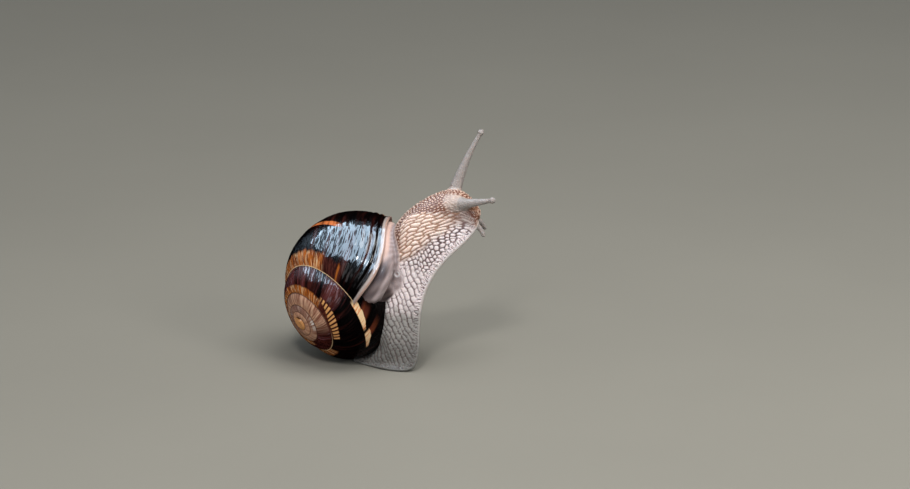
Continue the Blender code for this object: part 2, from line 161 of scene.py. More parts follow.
def add_piece(name, bm, finish):
    """Turn a mesh in metres into an object at the origin."""
    mesh = bpy.data.meshes.new(name)
    bm.to_mesh(mesh)
    bm.free()
    mesh.shade_smooth()
    mesh.materials.append(finish)
    piece = bpy.data.objects.new(name, mesh)
    bpy.context.scene.collection.objects.link(piece)
    return piece


floor_paint, floor_shader, start = new_finish("floor_paint", Roughness=0.8, Specular_IOR_Level=0.0)
place = start.node("TexCoord", output=3)
mottle = start.node("TexNoise", None, {"Vector": place, "Scale": 9.0, "Detail": 3.0})
feed(floor_shader, start, Base_Color=mottle.over(*FLOOR_PAINT))
bm = bmesh.new()
bmesh.ops.create_grid(bm, x_segments=2, y_segments=2, size=FLOOR_HALF)
floor = add_piece("floor", bm, floor_paint)
floor.visible_glossy = False        # the shell's lower side mirrors only the dark room


# ------------------------------------------------------------------------------- lights
# Soft studio light: a softbox overhead, a small key and a wide fill on the camera's side and
# a warm light before the head. Cool panels above the shell light only what shines: their
# reflection is the bright patch on the shell's shoulder.
SOFTBOXES = (
    # name, place, width, height, watts, colour
    ("overhead", (0.16, -0.10, 0.60), 0.45, 0.45, 3.1, (1.0, 0.98, 0.95)),
    ("key", (-0.10, -0.55, 0.60), 0.12, 0.12, 2.3, (1.0, 0.97, 0.94)),
    ("front", (0.55, -0.50, 0.45), 0.22, 0.22, 1.5, (1.0, 0.96, 0.91)),
    ("fill", (-0.35, -0.75, 0.25), 0.60, 0.60, 0.9, (0.96, 0.98, 1.0)),
)
LIT_POINT = Vector((0.0, 0.0, 0.03))
PANELS = (
    # west, east, south and north edges of the cool panels
    (-0.10, 0.10, -0.52, 0.20), (-0.34, -0.10, -0.40, 0.34), (-0.74, -0.34, -0.24, 0.50),
)
PANEL_HEIGHT = 0.42
PANEL_WATTS = 37                    # for each square metre
PANEL_COLOUR = (0.60, 0.80, 1.0)
ROOM_COLOUR = (0.80, 0.86, 0.92, 1)
ROOM_STRENGTH = 0.35


def add_light(name, light_place, width, height, watts, colour):
    """A rectangular area light that shines straight down until it is turned."""
    lamp = bpy.data.lights.new(name, "AREA")
    lamp.shape, lamp.size, lamp.size_y = "RECTANGLE", width, height
    lamp.energy, lamp.color = watts, colour
    light = bpy.data.objects.new(name, lamp)
    light.location = light_place
    bpy.context.scene.collection.objects.link(light)
    return light


for name, light_place, width, height, watts, colour in SOFTBOXES:
    light = add_light(name, light_place, width, height, watts, colour)
    light.rotation_mode = "QUATERNION"
    light.rotation_quaternion = (LIT_POINT - Vector(light_place)).to_track_quat("-Z", "Y")
for number, (west, east, south, north) in enumerate(PANELS):
    middle = ((west + east) / 2, (south + north) / 2, PANEL_HEIGHT)
    width, height = east - west, north - south
    panel = add_light(f"panel_{number}", middle, width, height, PANEL_WATTS * width * height,
                      PANEL_COLOUR)
    panel.visible_diffuse = False
world = bpy.data.worlds.new("studio")
world.use_nodes = True
world.node_tree.nodes["Background"].inputs["Color"].default_value = ROOM_COLOUR
world.node_tree.nodes["Background"].inputs["Strength"].default_value = ROOM_STRENGTH
world.cycles_visibility.glossy = False
bpy.context.scene.world = world


# -------------------------------------------------------------------------------- shell
# The shell is a thin chalky tube under a horny skin, wound in five whorls that grow as
# they turn. Each growth line is an old edge of the mouth. The whorls share their sutures,
# and the grown mouth ends in a thick pale lip.
TURN = 2 * math.pi
APEX = np.array((-27.580, -11.867, 13.9))   # in mm, as all sizes of the shell
AXIS_HEADING = math.radians(217.17)
AXIS_DIP = math.radians(18.54)
LIP_ROLL = math.radians(18.4)
WHORLS = 5.2
GROWTH = 0.353
TUBE_ORBIT = 11.85
TUBE_ACROSS = 13.75
TUBE_ALONG = 17.66
DROP = 20.47
LAST_DROP = 7.08
LAST_DROP_POWER = 4.37
LIP_LEAN = 0.455
LIP_BOW = 0.085
LIP_BOW_END = 1.7
NUCLEUS = 0.4
NUCLEUS_TURNS = 1.2
NUCLEUS_INSET = 0.55
NUCLEUS_INSET_TURNS = 0.35
APEX_EDGE = math.radians(100)
COLUMELLA_RADIUS = 1.6
LIP_THICKNESS = 1.1
LIP_FLARE = 0.45
LIP_FLARE_TURNS = 0.012
CALLUS = 0.35
CALLUS_EDGE = math.radians(4)
MOUTH_DEPTH = math.radians(20)
INNER_WALL = math.radians(150)
REPEATS = 14
HALVINGS = 32
RINGS = 330                         # growth lines in a turn
BAND_STEPS = 32                     # quads from one suture to the next
BASE_STEPS = 44                     # quads from there to the columella
COLUMELLA_STEPS = 8
SHELL_INSET = 0.06                  # keeps the relief inside the solid's box
PALE_BAND_AT = math.radians(7.5)    # the pale band's direction in the tube's section
PALE_BAND_TURN = -0.14              # at this place, and it shifts by this much in a turn
PALE_BAND_SHIFT = math.radians(-16)
ARC_RADIUS = 20.0
FOLDS = (
    # growth folds behind the lip: turns back from it, half-width in turns, height in mm
    (0.0170, 0.0040, -0.30), (0.0240, 0.0040, 0.26), (0.0310, 0.0042, -0.26),
    (0.0400, 0.0045, 0.16), (0.0480, 0.0045, -0.12), (0.0620, 0.0045, -0.10),
    (0.0900, 0.0040, -0.07), (0.1400, 0.0050, 0.05),
)

axis = np.array((math.cos(AXIS_DIP) * math.cos(AXIS_HEADING),
                 math.cos(AXIS_DIP) * math.sin(AXIS_HEADING), -math.sin(AXIS_DIP)))
level = np.cross((0, 0, 1), axis)
level /= np.linalg.norm(level)
upright = np.cross(axis, level)


def tube(angle, inset=0.0):
    """Section of the tube at an angle: orbit radius, height and its two half-sizes."""
    turns = angle / TURN
    begun = turns + WHORLS
    grown = np.clip(begun / NUCLEUS_TURNS, 0, 1)
    size = np.exp(GROWTH * turns) * (NUCLEUS + (1 - NUCLEUS) * grown * (2 - grown))
    inward = 1 - NUCLEUS_INSET * np.exp(-np.maximum(begun, 0) / NUCLEUS_INSET_TURNS)
    height = -DROP * size - LAST_DROP * size ** LAST_DROP_POWER
    orbit = TUBE_ORBIT * size * inward
    return orbit, height, TUBE_ACROSS * size - inset, TUBE_ALONG * size - inset


def section_point(angle, down, inset=0.0):
    """Distance from the axis and height of the surface at a direction in the section."""
    orbit, height, across, along = tube(angle, inset)
    return orbit + across * np.cos(down), height + along * np.sin(down)


def surface_point(angle, down, inset=0.0):
    """Places on the tube's surface, in mm."""
    radius, height = section_point(angle, down, inset)
    around = LIP_ROLL - angle
    outward = np.cos(around)[..., None] * level + np.sin(around)[..., None] * upright
    return APEX + radius[..., None] * outward + height[..., None] * axis


def upper_suture(angle, inset=0.0, callus=0.0):
    """Directions in the section where the tube meets the whorl above it."""
    orbit, height, across, along = tube(angle - TURN, -callus)

    def outside(down):
        radius, rise = section_point(angle, down, inset)
        return ((radius - orbit) / across) ** 2 + ((rise - height) / along) ** 2 > 1

    steps = np.radians(np.arange(0, 181, 2.0))
    first = np.argmin([outside(np.full_like(angle, step)) for step in steps], axis=0)
    high, low = steps[first], steps[np.maximum(first - 1, 0)]
    for _ in range(HALVINGS):
        middle = (low + high) / 2
        out = outside(middle)
        low, high = np.where(out, middle, low), np.where(out, high, middle)
    return np.where(angle - TURN < -WHORLS * TURN, APEX_EDGE, low)


def direction_on(angle, radius, height, outset=0.0):
    """Direction from the section's centre to a point on its outline."""
    orbit, middle, across, along = tube(angle, -outset)
    return np.arctan2((height - middle) / along, (radius - orbit) / across)


def lower_suture(angle):
    """Direction in the section where the next whorl's suture runs."""
    return direction_on(angle, *section_point(angle + TURN, upper_suture(angle + TURN)))


def columella_end(angle):
    """Direction on the underside where the surface reaches the columella."""
    orbit, _, across, _ = tube(angle)
    return -np.arccos(np.minimum((COLUMELLA_RADIUS - orbit) / across, 1.0))


def lean(down):
    """How far growth lines trail back at so many radians down from their suture."""
    bow = np.sin(math.pi * np.clip(down / LIP_BOW_END, 0, 1)) ** 2
    return LIP_LEAN * down - LIP_BOW * bow


def trail(angle, end_of):
    """How far growth lines trail back from their suture to the end given by a function."""
    top = upper_suture(angle)
    back = np.zeros_like(angle)
    for _ in range(REPEATS):
        back = lean(top - end_of(angle - back))
    return back


def partner_of(joined):
    """Angles of the rings whose lower ends lie at the given angles."""
    angle = joined.copy()
    for _ in range(REPEATS):
        angle = joined + trail(angle, lower_suture)
    return angle


# the last turn's rings are even, and each older ring ends where a younger one starts
first = partner_of(np.array([-TURN]))[0]
ring_angles = first * (1 - np.arange(RINGS + 1) / RINGS)
while ring_angles[0] > -WHORLS * TURN:
    ring_angles = np.concatenate((partner_of(ring_angles[:RINGS] - TURN), ring_angles))
ring_angles = ring_angles[ring_angles > -WHORLS * TURN]
ring_count = len(ring_angles)
parting = ring_count - 1 - RINGS     # from here on the underside shows too
ring_top = upper_suture(ring_angles)
ring_trail = trail(ring_angles, lower_suture)
ring_bottom = lower_suture(ring_angles - ring_trail)
ring_end = columella_end(ring_angles - trail(ring_angles, columella_end))
band_share = np.arange(BAND_STEPS + 1) / BAND_STEPS
base_share = np.arange(1, BASE_STEPS + 1) / BASE_STEPS
shell_down = np.concatenate(
    (ring_top[:, None] + (ring_bottom - ring_top)[:, None] * band_share,
     ring_bottom[:, None] + (ring_end - ring_bottom)[:, None] * base_share), axis=1)
shell_share = np.concatenate((band_share, 1 + base_share))
shell_angle = ring_angles[:, None] - lean(ring_top[:, None] - shell_down)

# relief: growth wrinkles that come and go across the band, and folds behind the lip
shell_draws = np.random.default_rng(41)
WRINKLES = (
    # height in mm, width in rings, columns from the suture to the columella
    (0.016, 1.3, 12), (0.024, 3.5, 8), (0.03, 14, 5),
)


def wrinkles(width, columns):
    """Random heights that run along the growth lines, of this width in rings."""
    field = shell_draws.normal(size=(ring_count, columns))
    reach = np.arange(-3 * int(width) - 3, 3 * int(width) + 4)
    kernel = np.exp(-(reach / width) ** 2 / 2)
    kernel /= math.sqrt((kernel ** 2).sum())
    smooth = np.stack([np.convolve(column, kernel, "same") for column in field.T], axis=1)
    at = shell_share / 2 * (columns - 1)
    left = np.minimum(at.astype(int), columns - 2)
    part = at - left
    part = part * part * (3 - 2 * part)
    return smooth[:, left] * (1 - part) + smooth[:, left + 1] * part


ring_turns = ring_angles / TURN
ring_size = np.exp(GROWTH * ring_turns)
shell_relief = sum(high * wrinkles(width, columns) for high, width, columns in WRINKLES)
shell_relief *= ring_size[:, None]
for back, half_width, fold_height in FOLDS:
    wander = back + 0.0012 * np.sin(4 * shell_share + 60 * back)
    bump = np.exp(-((ring_turns[:, None] + wander) / half_width) ** 2)
    shell_relief += fold_height * bump * (0.75 + 0.25 * np.sin(3 * shell_share + 90 * back))
shell_relief *= np.clip(shell_share / 0.05, 0, 1)
shell_relief *= np.clip((1.98 - shell_share) / 0.06, 0, 1)
flare = np.clip(1 + ring_turns / LIP_FLARE_TURNS, 0, 1) ** 2 * LIP_FLARE
shell_points = surface_point(shell_angle, shell_down,
                             SHELL_INSET - shell_relief - flare[:, None])
shell_points[:-RINGS, BAND_STEPS] = shell_points[RINGS:, 0]

# marks for the finish: mm along the growth, mm from the suture, turns; then the share of the
# way down, degrees from the pale band, and whether it is in the mouth
arc = TURN * ARC_RADIUS / GROWTH * ring_size
across_mm = np.concatenate(
    (np.zeros((ring_count, 1)),
     np.cumsum(np.linalg.norm(np.diff(shell_points, axis=1), axis=2), axis=1)), axis=1)
pale_at = PALE_BAND_AT + PALE_BAND_SHIFT * (shell_angle / TURN - PALE_BAND_TURN)
shell_growth = np.stack(np.broadcast_arrays(arc[:, None], across_mm, ring_turns[:, None]), axis=2)
shell_bands = np.stack(np.broadcast_arrays(
    shell_share, np.degrees(shell_down - pale_at), np.zeros((ring_count, 1))), axis=2)


def laid_out(points, **marks):
    """A grid of quads moved onto rows of places in mm, with marks kept on its corners."""
    rows, columns = points.shape[:2]
    bm = bmesh.new()
    bmesh.ops.create_grid(bm, x_segments=rows - 1, y_segments=columns - 1, size=0.5)
    layers = [(bm.loops.layers.float_vector.new(name), values) for name, values in marks.items()]
    spots = [(round((vert.co.x + 0.5) * (rows - 1)), round((vert.co.y + 0.5) * (columns - 1)))
             for vert in bm.verts]
    bm.verts.index_update()
    for vert, spot in zip(bm.verts, spots):
        vert.co = points[spot] * MM
    for face in bm.faces:
        for loop in face.loops:
            for layer, values in layers:
                loop[layer] = values[spots[loop.vert.index]]
    return bm, spots


shell_bm, spots = laid_out(shell_points, growth=shell_growth, bands=shell_bands)
covered = [face for face in shell_bm.faces
           if min(spots[v.index][0] for v in face.verts) < parting
           and max(spots[v.index][1] for v in face.verts) > BAND_STEPS]
bmesh.ops.delete(shell_bm, geom=covered, context="FACES")

# the lip turns in to an even rim, and the hollow behind it ends in a wall
lip = shell_points[-1]
inner_edge = shell_points[parting, :BAND_STEPS:-1]
pillar_share = np.arange(1, COLUMELLA_STEPS)[:, None] / COLUMELLA_STEPS
pillar = lip[-1] + (inner_edge[0] - lip[-1]) * pillar_share
mouth_rows = [np.concatenate((lip, pillar, inner_edge))]
LIP_ROUNDING = ((0.16, 0.012), (0.45, 0.016), (0.8, 0.010), (1.0, -0.02), (1.0, -0.09))


def mouth_row(ahead, inset, callus, edge_share):
    """Outline of the mouth at an angle: outer wall, columella, whorl inside."""
    top, end = ring_top[-1], ring_end[-1]
    start_down = upper_suture(np.array([ahead]), inset, callus)[0]
    down = end + (shell_down[-1] - end) * (start_down - end) / (top - end)
    outer = surface_point(ahead - lean(top - down), down, inset)
    inner_angle = ahead - TURN - lean(top - start_down)
    corner = section_point(np.array([ahead - lean(top - start_down)]), start_down, inset)
    inner_start = direction_on(inner_angle, *corner, callus)[0]
    inner_end = columella_end(np.array([inner_angle - LIP_LEAN * (inner_start + INNER_WALL)]))[0]
    step = np.arange(BASE_STEPS, 0, -1)
    down = inner_start + (inner_end - inner_start) * step / BASE_STEPS
    edge = CALLUS_EDGE * np.minimum(step / 12, 1.0) * edge_share
    inner = surface_point(inner_angle - LIP_LEAN * (inner_start - down) - edge, down, -callus)
    pillar = outer[-1] + (inner[0] - outer[-1]) * pillar_share
    return np.concatenate((outer, pillar, inner))


for share_in, ahead in LIP_ROUNDING + ((1.0, -MOUTH_DEPTH / 2), (1.0, -MOUTH_DEPTH)):
    inset = LIP_THICKNESS * share_in - LIP_FLARE * (1 - share_in)
    mouth_rows.append(mouth_row(ahead, inset, CALLUS * share_in, share_in))
mouth_points = np.array(mouth_rows)
mouth_points = np.concatenate((mouth_points, mouth_points[:, :1]), axis=1)
mouth_growth = np.zeros(mouth_points.shape)
mouth_growth[..., 0] = arc[-1]
mouth_growth[..., 1] = 5 * np.arange(mouth_points.shape[1]) / 10
mouth_bands = np.zeros(mouth_points.shape)
mouth_bands[..., 2] = 1
mouth_bm, _ = laid_out(mouth_points, growth=mouth_growth, bands=mouth_bands)


def absorb(bm, other):
    """Move another mesh into this one."""
    carried = bpy.data.meshes.new("carried")
    other.to_mesh(carried)
    other.free()
    bm.from_mesh(carried)
    bpy.data.meshes.remove(carried)


absorb(shell_bm, mouth_bm)
bmesh.ops.remove_doubles(shell_bm, verts=shell_bm.verts, dist=1e-7)
old_faces = set(shell_bm.faces)
growth_layer = shell_bm.loops.layers.float_vector["growth"]
bands_layer = shell_bm.loops.layers.float_vector["bands"]
bmesh.ops.holes_fill(shell_bm, edges=[e for e in shell_bm.edges if e.is_boundary], sides=0)
caps = [face for face in shell_bm.faces if face not in old_faces]
apex_metres = Vector(APEX * MM)
for face in caps:
    at_apex = (face.calc_center_median() - apex_metres).length < 5 * MM
    for loop in face.loops:
        loop[growth_layer] = (arc[0], 0.3, -WHORLS) if at_apex else (arc[-1], 5.0, 0.0)
        loop[bands_layer] = (0.5, -50, 0) if at_apex else (1.9, -100, 1)
bmesh.ops.poke(shell_bm, faces=caps)
for vert in shell_bm.verts:
    vert.co.z = max(vert.co.z, 0.0)
bmesh.ops.triangulate(shell_bm, faces=[f for f in shell_bm.faces if len(f.verts) > 4])
bmesh.ops.recalc_face_normals(shell_bm, faces=shell_bm.faces)

BLACK_BROWN = (0.0014, 0.0009, 0.0010, 1)
DARK_RED = (0.055, 0.012, 0.009, 1)
PLUM = (0.150, 0.034, 0.034, 1)
# a painted glint colour for the streaks on the older whorls
LILAC_GLINT_PAINT = (0.30, 0.18, 0.23, 1)
RED_BROWN = (0.13, 0.030, 0.018, 1)
MAROON = (0.095, 0.026, 0.020, 1)
BROWN = (0.19, 0.048, 0.012, 1)
ORANGE = (0.58, 0.165, 0.024, 1)
PALE_ORANGE = (0.72, 0.20, 0.06, 1)
CREAM = (0.86, 0.62, 0.36, 1)
TOOTH_CREAM = (0.76, 0.38, 0.14, 1)
RUST = (0.74, 0.45, 0.30, 1)
WORN_GREY = (0.44, 0.36, 0.33, 1)
PINK_TAN = (0.44, 0.21, 0.13, 1)
MID_BROWN = (0.24, 0.085, 0.050, 1)
WORN_BROWN = (0.26, 0.125, 0.095, 1)
RUBBED_WHITE = (0.70, 0.64, 0.60, 1)
APEX_TAN = (0.66, 0.38, 0.25, 1)
APEX_ORANGE = (0.74, 0.35, 0.13, 1)
LIP_PINK = (0.42, 0.27, 0.22, 1)
LIP_WHITE = (0.40, 0.34, 0.32, 1)

shell_finish, shell_shader, start = new_finish(
    "shell_skin", Specular_IOR_Level=0.07, Coat_Roughness=0.05)
arc, across, turns = start.node("SeparateXYZ", None, {
    0: start.node("Attribute", {"attribute_name": "growth"}, output=1)}, output=[0, 1, 2])
share, off_band, in_mouth = start.node("SeparateXYZ", None, {
    0: start.node("Attribute", {"attribute_name": "bands"}, output=1)}, output=[0, 1, 2])


def streaks(along, over_band, layer):
    """Noise drawn out along the growth lines: so many to a mm along and across."""
    spot = start.node("CombineXYZ", None, {0: arc * along, 1: across * over_band, 2: layer})
    return start.node("TexNoise", None, {"Vector": spot, "Scale": 1.0, "Detail": 2.0})


broad = streaks(0.16, 0.03, 1.0)
middling = streaks(0.55, 0.06, 5.0)
fine = streaks(1.15, 0.10, 9.0)
finest = streaks(3.1, 0.30, 14.0)
older = 1 - turns.rise(-1.30, -0.80)
oldest = 1 - turns.rise(-1.99, -1.86)

# the broad dark bands, black on the last whorl and plum or red-brown on older ones, which also
# carry lilac streaks that are painted glints
dark = (middling * 0.6 + broad * 0.4 + older * 0.18).rise(0.50, 0.74).over(BLACK_BROWN, DARK_RED)
dark = (older * (fine * 0.6 + broad * 0.4).rise(0.46, 0.62) * 0.8).over(dark, PLUM)
# painted glints: lilac streaks over the older whorls' dark bands
dark = (older * (finest * 0.6 + broad * 0.4).rise(0.55, 0.66) * 0.5).over(dark, LILAC_GLINT_PAINT)

# the band under the suture: orange-brown with cream streaks, dull red near the lip
band_edge = share + (fine - 0.5) * 0.11 + (broad - 0.5) * 0.06
under_suture = 1 - (band_edge - older * 0.08).rise(0.20, 0.27)
under_suture = under_suture * (1 - turns.between(-1.97, -1.92, -1.75, -1.70))
under_suture = under_suture * (1 - turns.between(-1.06, -1.04, -0.80, -0.77))
near_lip = turns.rise(-0.150, -0.128)
ground = (middling * 0.4 + finest * 0.6).rise(0.42, 0.56).over(BROWN, ORANGE)
dark_lines = streaks(2.2, 0.16, 31.0).rise(0.53, 0.62)
ground = (dark_lines * 0.8).over(ground, RED_BROWN)
cream_lines = (fine * 0.4 + finest * 0.6).rise(0.525, 0.580)
ground = (cream_lines * 0.75).over(ground, CREAM)
fleck = turns + 0.083
fleck = (1 - abs(fleck).rise(0.001, 0.005)) * 0.6
dull = (middling * 0.4 + finest * 0.6).rise(0.44, 0.56).over(BLACK_BROWN, MAROON)
dull = fleck.over((fine * 0.8).over(dull, DARK_RED), ORANGE)
ground = near_lip.over(ground, dull)
under_suture = under_suture * (1 - turns.rise(-0.083, -0.060))
colour = under_suture.over(dark, ground)

# a comb of cream teeth on part of the whorl before, with a brown strip above it
in_comb = turns.between(-1.060, -1.040, -0.876, -0.870)
comb_top = 0.05 + (1 - turns.rise(-1.06, -0.94)) * 0.21
comb_foot = 0.235 + (1 - turns.rise(-1.00, -0.87)) * 0.14
comb_edge = share + (finest - 0.5) * 0.06
strip = in_comb * (1 - (comb_edge - comb_top).rise(0, 0.03))
comb = in_comb * (comb_edge - comb_top).rise(0, 0.03) * (1 - (comb_edge - comb_foot).rise(0, 0.03))
teeth = start.maths("SINE", arc * 4.4 + middling * 3).rise(-0.55, 0.25)
colour = strip.over(colour, (fine * 0.5 + finest * 0.5).rise(0.44, 0.6).over(DARK_RED, RED_BROWN))
colour = comb.over(colour, (teeth * (0.75 + fine * 0.4)).over(DARK_RED, TOOTH_CREAM))

# the pale band at the tube's widest, broken into flecks
first_turn = turns.rise(-0.74, -0.66)
band_half = 2.2 + (broad - 0.5) * 6.0
pale = 1 - (abs(off_band) - band_half).rise(-0.8, 0.8)
pale = pale * (middling * 0.35 + broad * 0.65).rise(0.40, 0.47) * first_turn
pale = pale * (1 - turns.rise(-0.135, -0.105))
colour = pale.over(colour, (middling + finest * 0.3).rise(0.45, 0.70).over(BROWN, PALE_ORANGE))

# under the lip it is two cream patches, each with a red-brown streak
worn_edge = off_band + (fine - 0.5) * 4
streak = (turns.between(-0.920, -0.905, -0.888, -0.872)
          + turns.between(-0.850, -0.842, -0.830, -0.818))
streak = streak * off_band.between(-26, -4, 3, 5)
streak_colour = (fine * 0.5 + finest * 0.5).rise(0.45, 0.6).over(RED_BROWN, BROWN)
colour = (streak * 0.85).over(colour, streak_colour)
patch = (turns.between(-0.958, -0.940, -0.868, -0.853)
         * (worn_edge - turns.rise(-0.900, -0.853) * 5.0).rise(-5.4, -4.4))
patch = patch + (turns.between(-0.850, -0.843, -0.797, -0.787)
                 * (worn_edge - turns.rise(-0.830, -0.790) * 6.0).rise(-5.2, -4.2))
patch = patch * (1 - off_band.rise(3.8, 4.8))
patch_colour = (finest * 0.6 + middling * 0.4).rise(0.38, 0.52).over(PALE_ORANGE, CREAM)
colour = patch.over(colour, patch_colour)

# flames round the navel
flames = off_band.between(-104, -84, -72, -50)
flames = flames * (broad * 0.55 + middling * 0.45 + off_band * 0.002).rise(0.28, 0.40)
flame_colour = (middling * 0.5 + fine * 0.5).rise(0.45, 0.58).over(ORANGE, CREAM)
colour = flames.over(colour, flame_colour)

# the older whorls are brown, then worn, and the apex is tan
brown_whorl = (fine * 0.6 + finest * 0.4).rise(0.38, 0.60).over(MID_BROWN, RUST)
colour = (oldest * 0.85).over(colour, brown_whorl)
worn = (1 - turns.rise(-3.25, -2.65)) * (0.55 + middling * 0.8).rise(0.7, 1.05)
colour = worn.over(colour, fine.rise(0.50, 0.66).over(WORN_BROWN, WORN_GREY))
rubbed = turns + 2.93
rubbed = (1 - abs(rubbed).rise(0.05, 0.10)) * share.rise(0.25, 0.55)
colour = (rubbed * (0.2 + fine)).rise(0.55, 0.85).over(colour, RUBBED_WHITE)
apex_colour = middling.rise(0.35, 0.65).over(PINK_TAN, APEX_TAN)
colour = (1 - turns.rise(-3.75, -3.55)).over(colour, apex_colour)
colour = (1 - turns.rise(-4.5, -4.2)).over(colour, APEX_ORANGE)

# painted shade in the groove along the older whorls' sutures and a cream line along the suture,
# then the pale lip and the mouth's lining
seam = 1 - (across + (finest - 0.5) * 0.35).rise(0.08, 0.34)
suture_shade = share.between(0.90, 0.985, 1.0, 1.02) + 1 - share.rise(0.01, 0.06)
# painted shade: dark red in the groove where the older whorls meet
colour = (suture_shade * (1 - turns.rise(-1.3, -1.1)) * 0.85).over(colour, DARK_RED)
colour = (seam * (0.03 + turns.rise(-0.95, -0.80) * 0.80)).over(colour, CREAM)
at_lip = (turns + (finest - 0.5) * 0.0016).rise(-0.0100, -0.0065)
lip_colour = turns.rise(-0.0050, -0.0010).over(LIP_WHITE, LIP_PINK)
colour = at_lip.over(colour, lip_colour)
colour = in_mouth.over(colour, (fine * 0.4).over(LIP_PINK, LIP_WHITE))

wear = oldest * 0.24 + fine.rise(0.35, 0.75) * 0.10 + in_mouth * 0.14
folds = turns.rise(-0.060, -0.020) * (1 - at_lip) * start.maths("SINE", arc * 3.6 + broad * 9)
grain = fine * 0.5 + finest * 0.40 + streaks(7.5, 1.1, 20.0) * 0.20 + folds * 0.36
relief = start.node("Bump", None, {"Strength": 1.0, "Distance": 0.00042, "Height": grain})
crackle = finest * 0.55 + fine * 0.25 + broad * 0.20
toward_lip = turns.most(-0.28) * (1 - older) * 0.35 - older * 0.035
gloss = (crackle + toward_lip + 0.005).rise(0.470, 0.505)
gloss = gloss.most(at_lip * 0.4)
feed(shell_shader, start, Base_Color=colour, Roughness=0.12 + wear, Coat_Weight=gloss,
     Normal=relief)
shell = add_piece("shell_wall", shell_bm, shell_finish)
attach(shell, "root")
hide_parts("shell")


# --------------------------------------------------------------------------------- skin
# Head, neck, foot and tail are one muscle under one moist skin; the feelers and the thick
# edge of the mantle grow out of it. They are lofted, joined by one fine remesh and pushed out
# of the shell, and the warts and furrows are raised by their place on the body.
BODY_SHIFT = np.array((0.0605, -6.3172, 0.0))
BODY_SECTIONS = np.array((
    # sole x and z, back x and z, half-width of the sole, of the body, step to the side
    (-11.0, 0.0, -11.0, 0.7, 0.9, 0.6, 1.0),
    (-8.8, 0.0, -9.0, 1.5, 3.0, 2.4, 0.8),
    (-5.6, 0.0, -6.2, 2.8, 5.8, 4.8, 0.5),
    (-1.6, 0.0, -4.2, 5.2, 8.4, 7.2, 0.2),
    (3.0, 0.0, -3.4, 8.0, 10.0, 8.4, 0.0),
    (7.3, 1.2, -4.0, 11.0, 10.4, 9.2, 0.0),
    (8.9, 5.8, -4.4, 14.4, 10.3, 9.4, 0.0),
    (9.2, 12.6, -4.4, 18.4, 9.9, 9.2, 0.0),
    (9.9, 20.0, -2.6, 23.8, 9.4, 8.8, 0.0),
    (11.6, 25.8, -1.0, 29.6, 9.0, 8.4, 0.0),
    (14.4, 31.0, 0.2, 36.2, 8.6, 8.0, 0.0),
    (18.0, 35.4, 1.8, 42.8, 8.3, 7.6, 0.0),
    (21.4, 38.6, 6.0, 48.0, 8.0, 7.1, 0.0),
    (24.2, 41.3, 11.8, 52.0, 7.5, 6.4, 0.0),
    (25.6, 42.9, 17.2, 54.2, 6.9, 5.7, 0.0),
    (26.3, 43.6, 21.6, 54.0, 6.2, 5.0, 0.0),
    (26.6, 44.1, 25.0, 51.6, 5.4, 4.2, 0.0),
    (26.8, 44.6, 27.0, 48.8, 4.4, 3.4, 0.0),
    (26.9, 45.0, 27.5, 46.8, 3.0, 2.3, 0.0),
))
SECTION_RINGS = 10
SOLE_MARGIN = 0.9
SOLE_CORNER = 13                   # column of the grid at the sole's rounded edge
BACK_COLUMN = 51                   # and at the middle of the back
FLANK_LEVEL = 0.42
FLANK_LEAN_POWER = 1.56
FLANK_POWER = 0.76
START_SECTION = 11                 # distances along the body start at this section
FEELERS = (
    # root, middle and tip in mm, and whether it is an upper or a lower one
    (((18.7, 3.2, 49.6), (22.2, 4.6, 60.0), (27.3, 6.2, 70.2)), "upper"),
    (((18.6, -2.4, 50.6), (25.0, -6.2, 52.3), (30.5, -9.2, 53.9)), "upper"),
    (((24.8, 2.6, 45.4), (27.4, 3.9, 43.4), (28.8, 4.6, 41.2)), "lower"),
    (((24.8, -2.6, 45.4), (27.2, -3.9, 43.7), (28.4, -4.6, 41.7)), "lower"),
)
UPPER_RADII = (2.8, 2.4, 2.0, 1.68, 1.42, 1.22, 1.06, 0.90, 0.78, 0.70)
LOWER_RADII = (1.3, 1.1, 0.95, 0.82, 0.74, 0.70, 0.68)
FEELER_RINGS = 50
FEELER_SIDES = 32
BULB_RINGS = 12
BULB_RADIUS = 0.95
EYE_RADIUS = 0.37
EYE_SOCKET = 0.6
EYE_GAP = 0.1                      # how far the skin's points are pushed off each eye
COLLAR_GAP = 0.3
COLLAR_FRONT = ((1.0, 0.3), (1.05, 1.4), (1.07, 3.2), (1.03, 5.0), (0.90, 6.6), (0.5, 7.4))
COLLAR_TOP_SHARE = 0.55
COLLAR_BACK = (-math.radians(13), -math.radians(6.5), 0.0)
VOXEL = 0.27                       # mm
CLEARANCE = 0.12
DEEPEST = 10.0                     # mm, as far as the skin may have to be pushed out
BOX_MARGIN = 0.01                  # mm that the skin stays inside the solid's box


def smooth_rows(table, at):
    """Catmull-Rom interpolation between the rows of a table."""
    row = np.minimum(at.astype(int), len(table) - 2)
    part = (at - row)[:, None]
    before, here, after, later = (table[np.clip(row + step, 0, len(table) - 1)]
                                  for step in (-1, 0, 1, 2))
    bend = 2 * before - 5 * here + 4 * after - later
    return here + 0.5 * part * (after - before + part * (
        bend + part * (3 * (here - after) + later - before)))


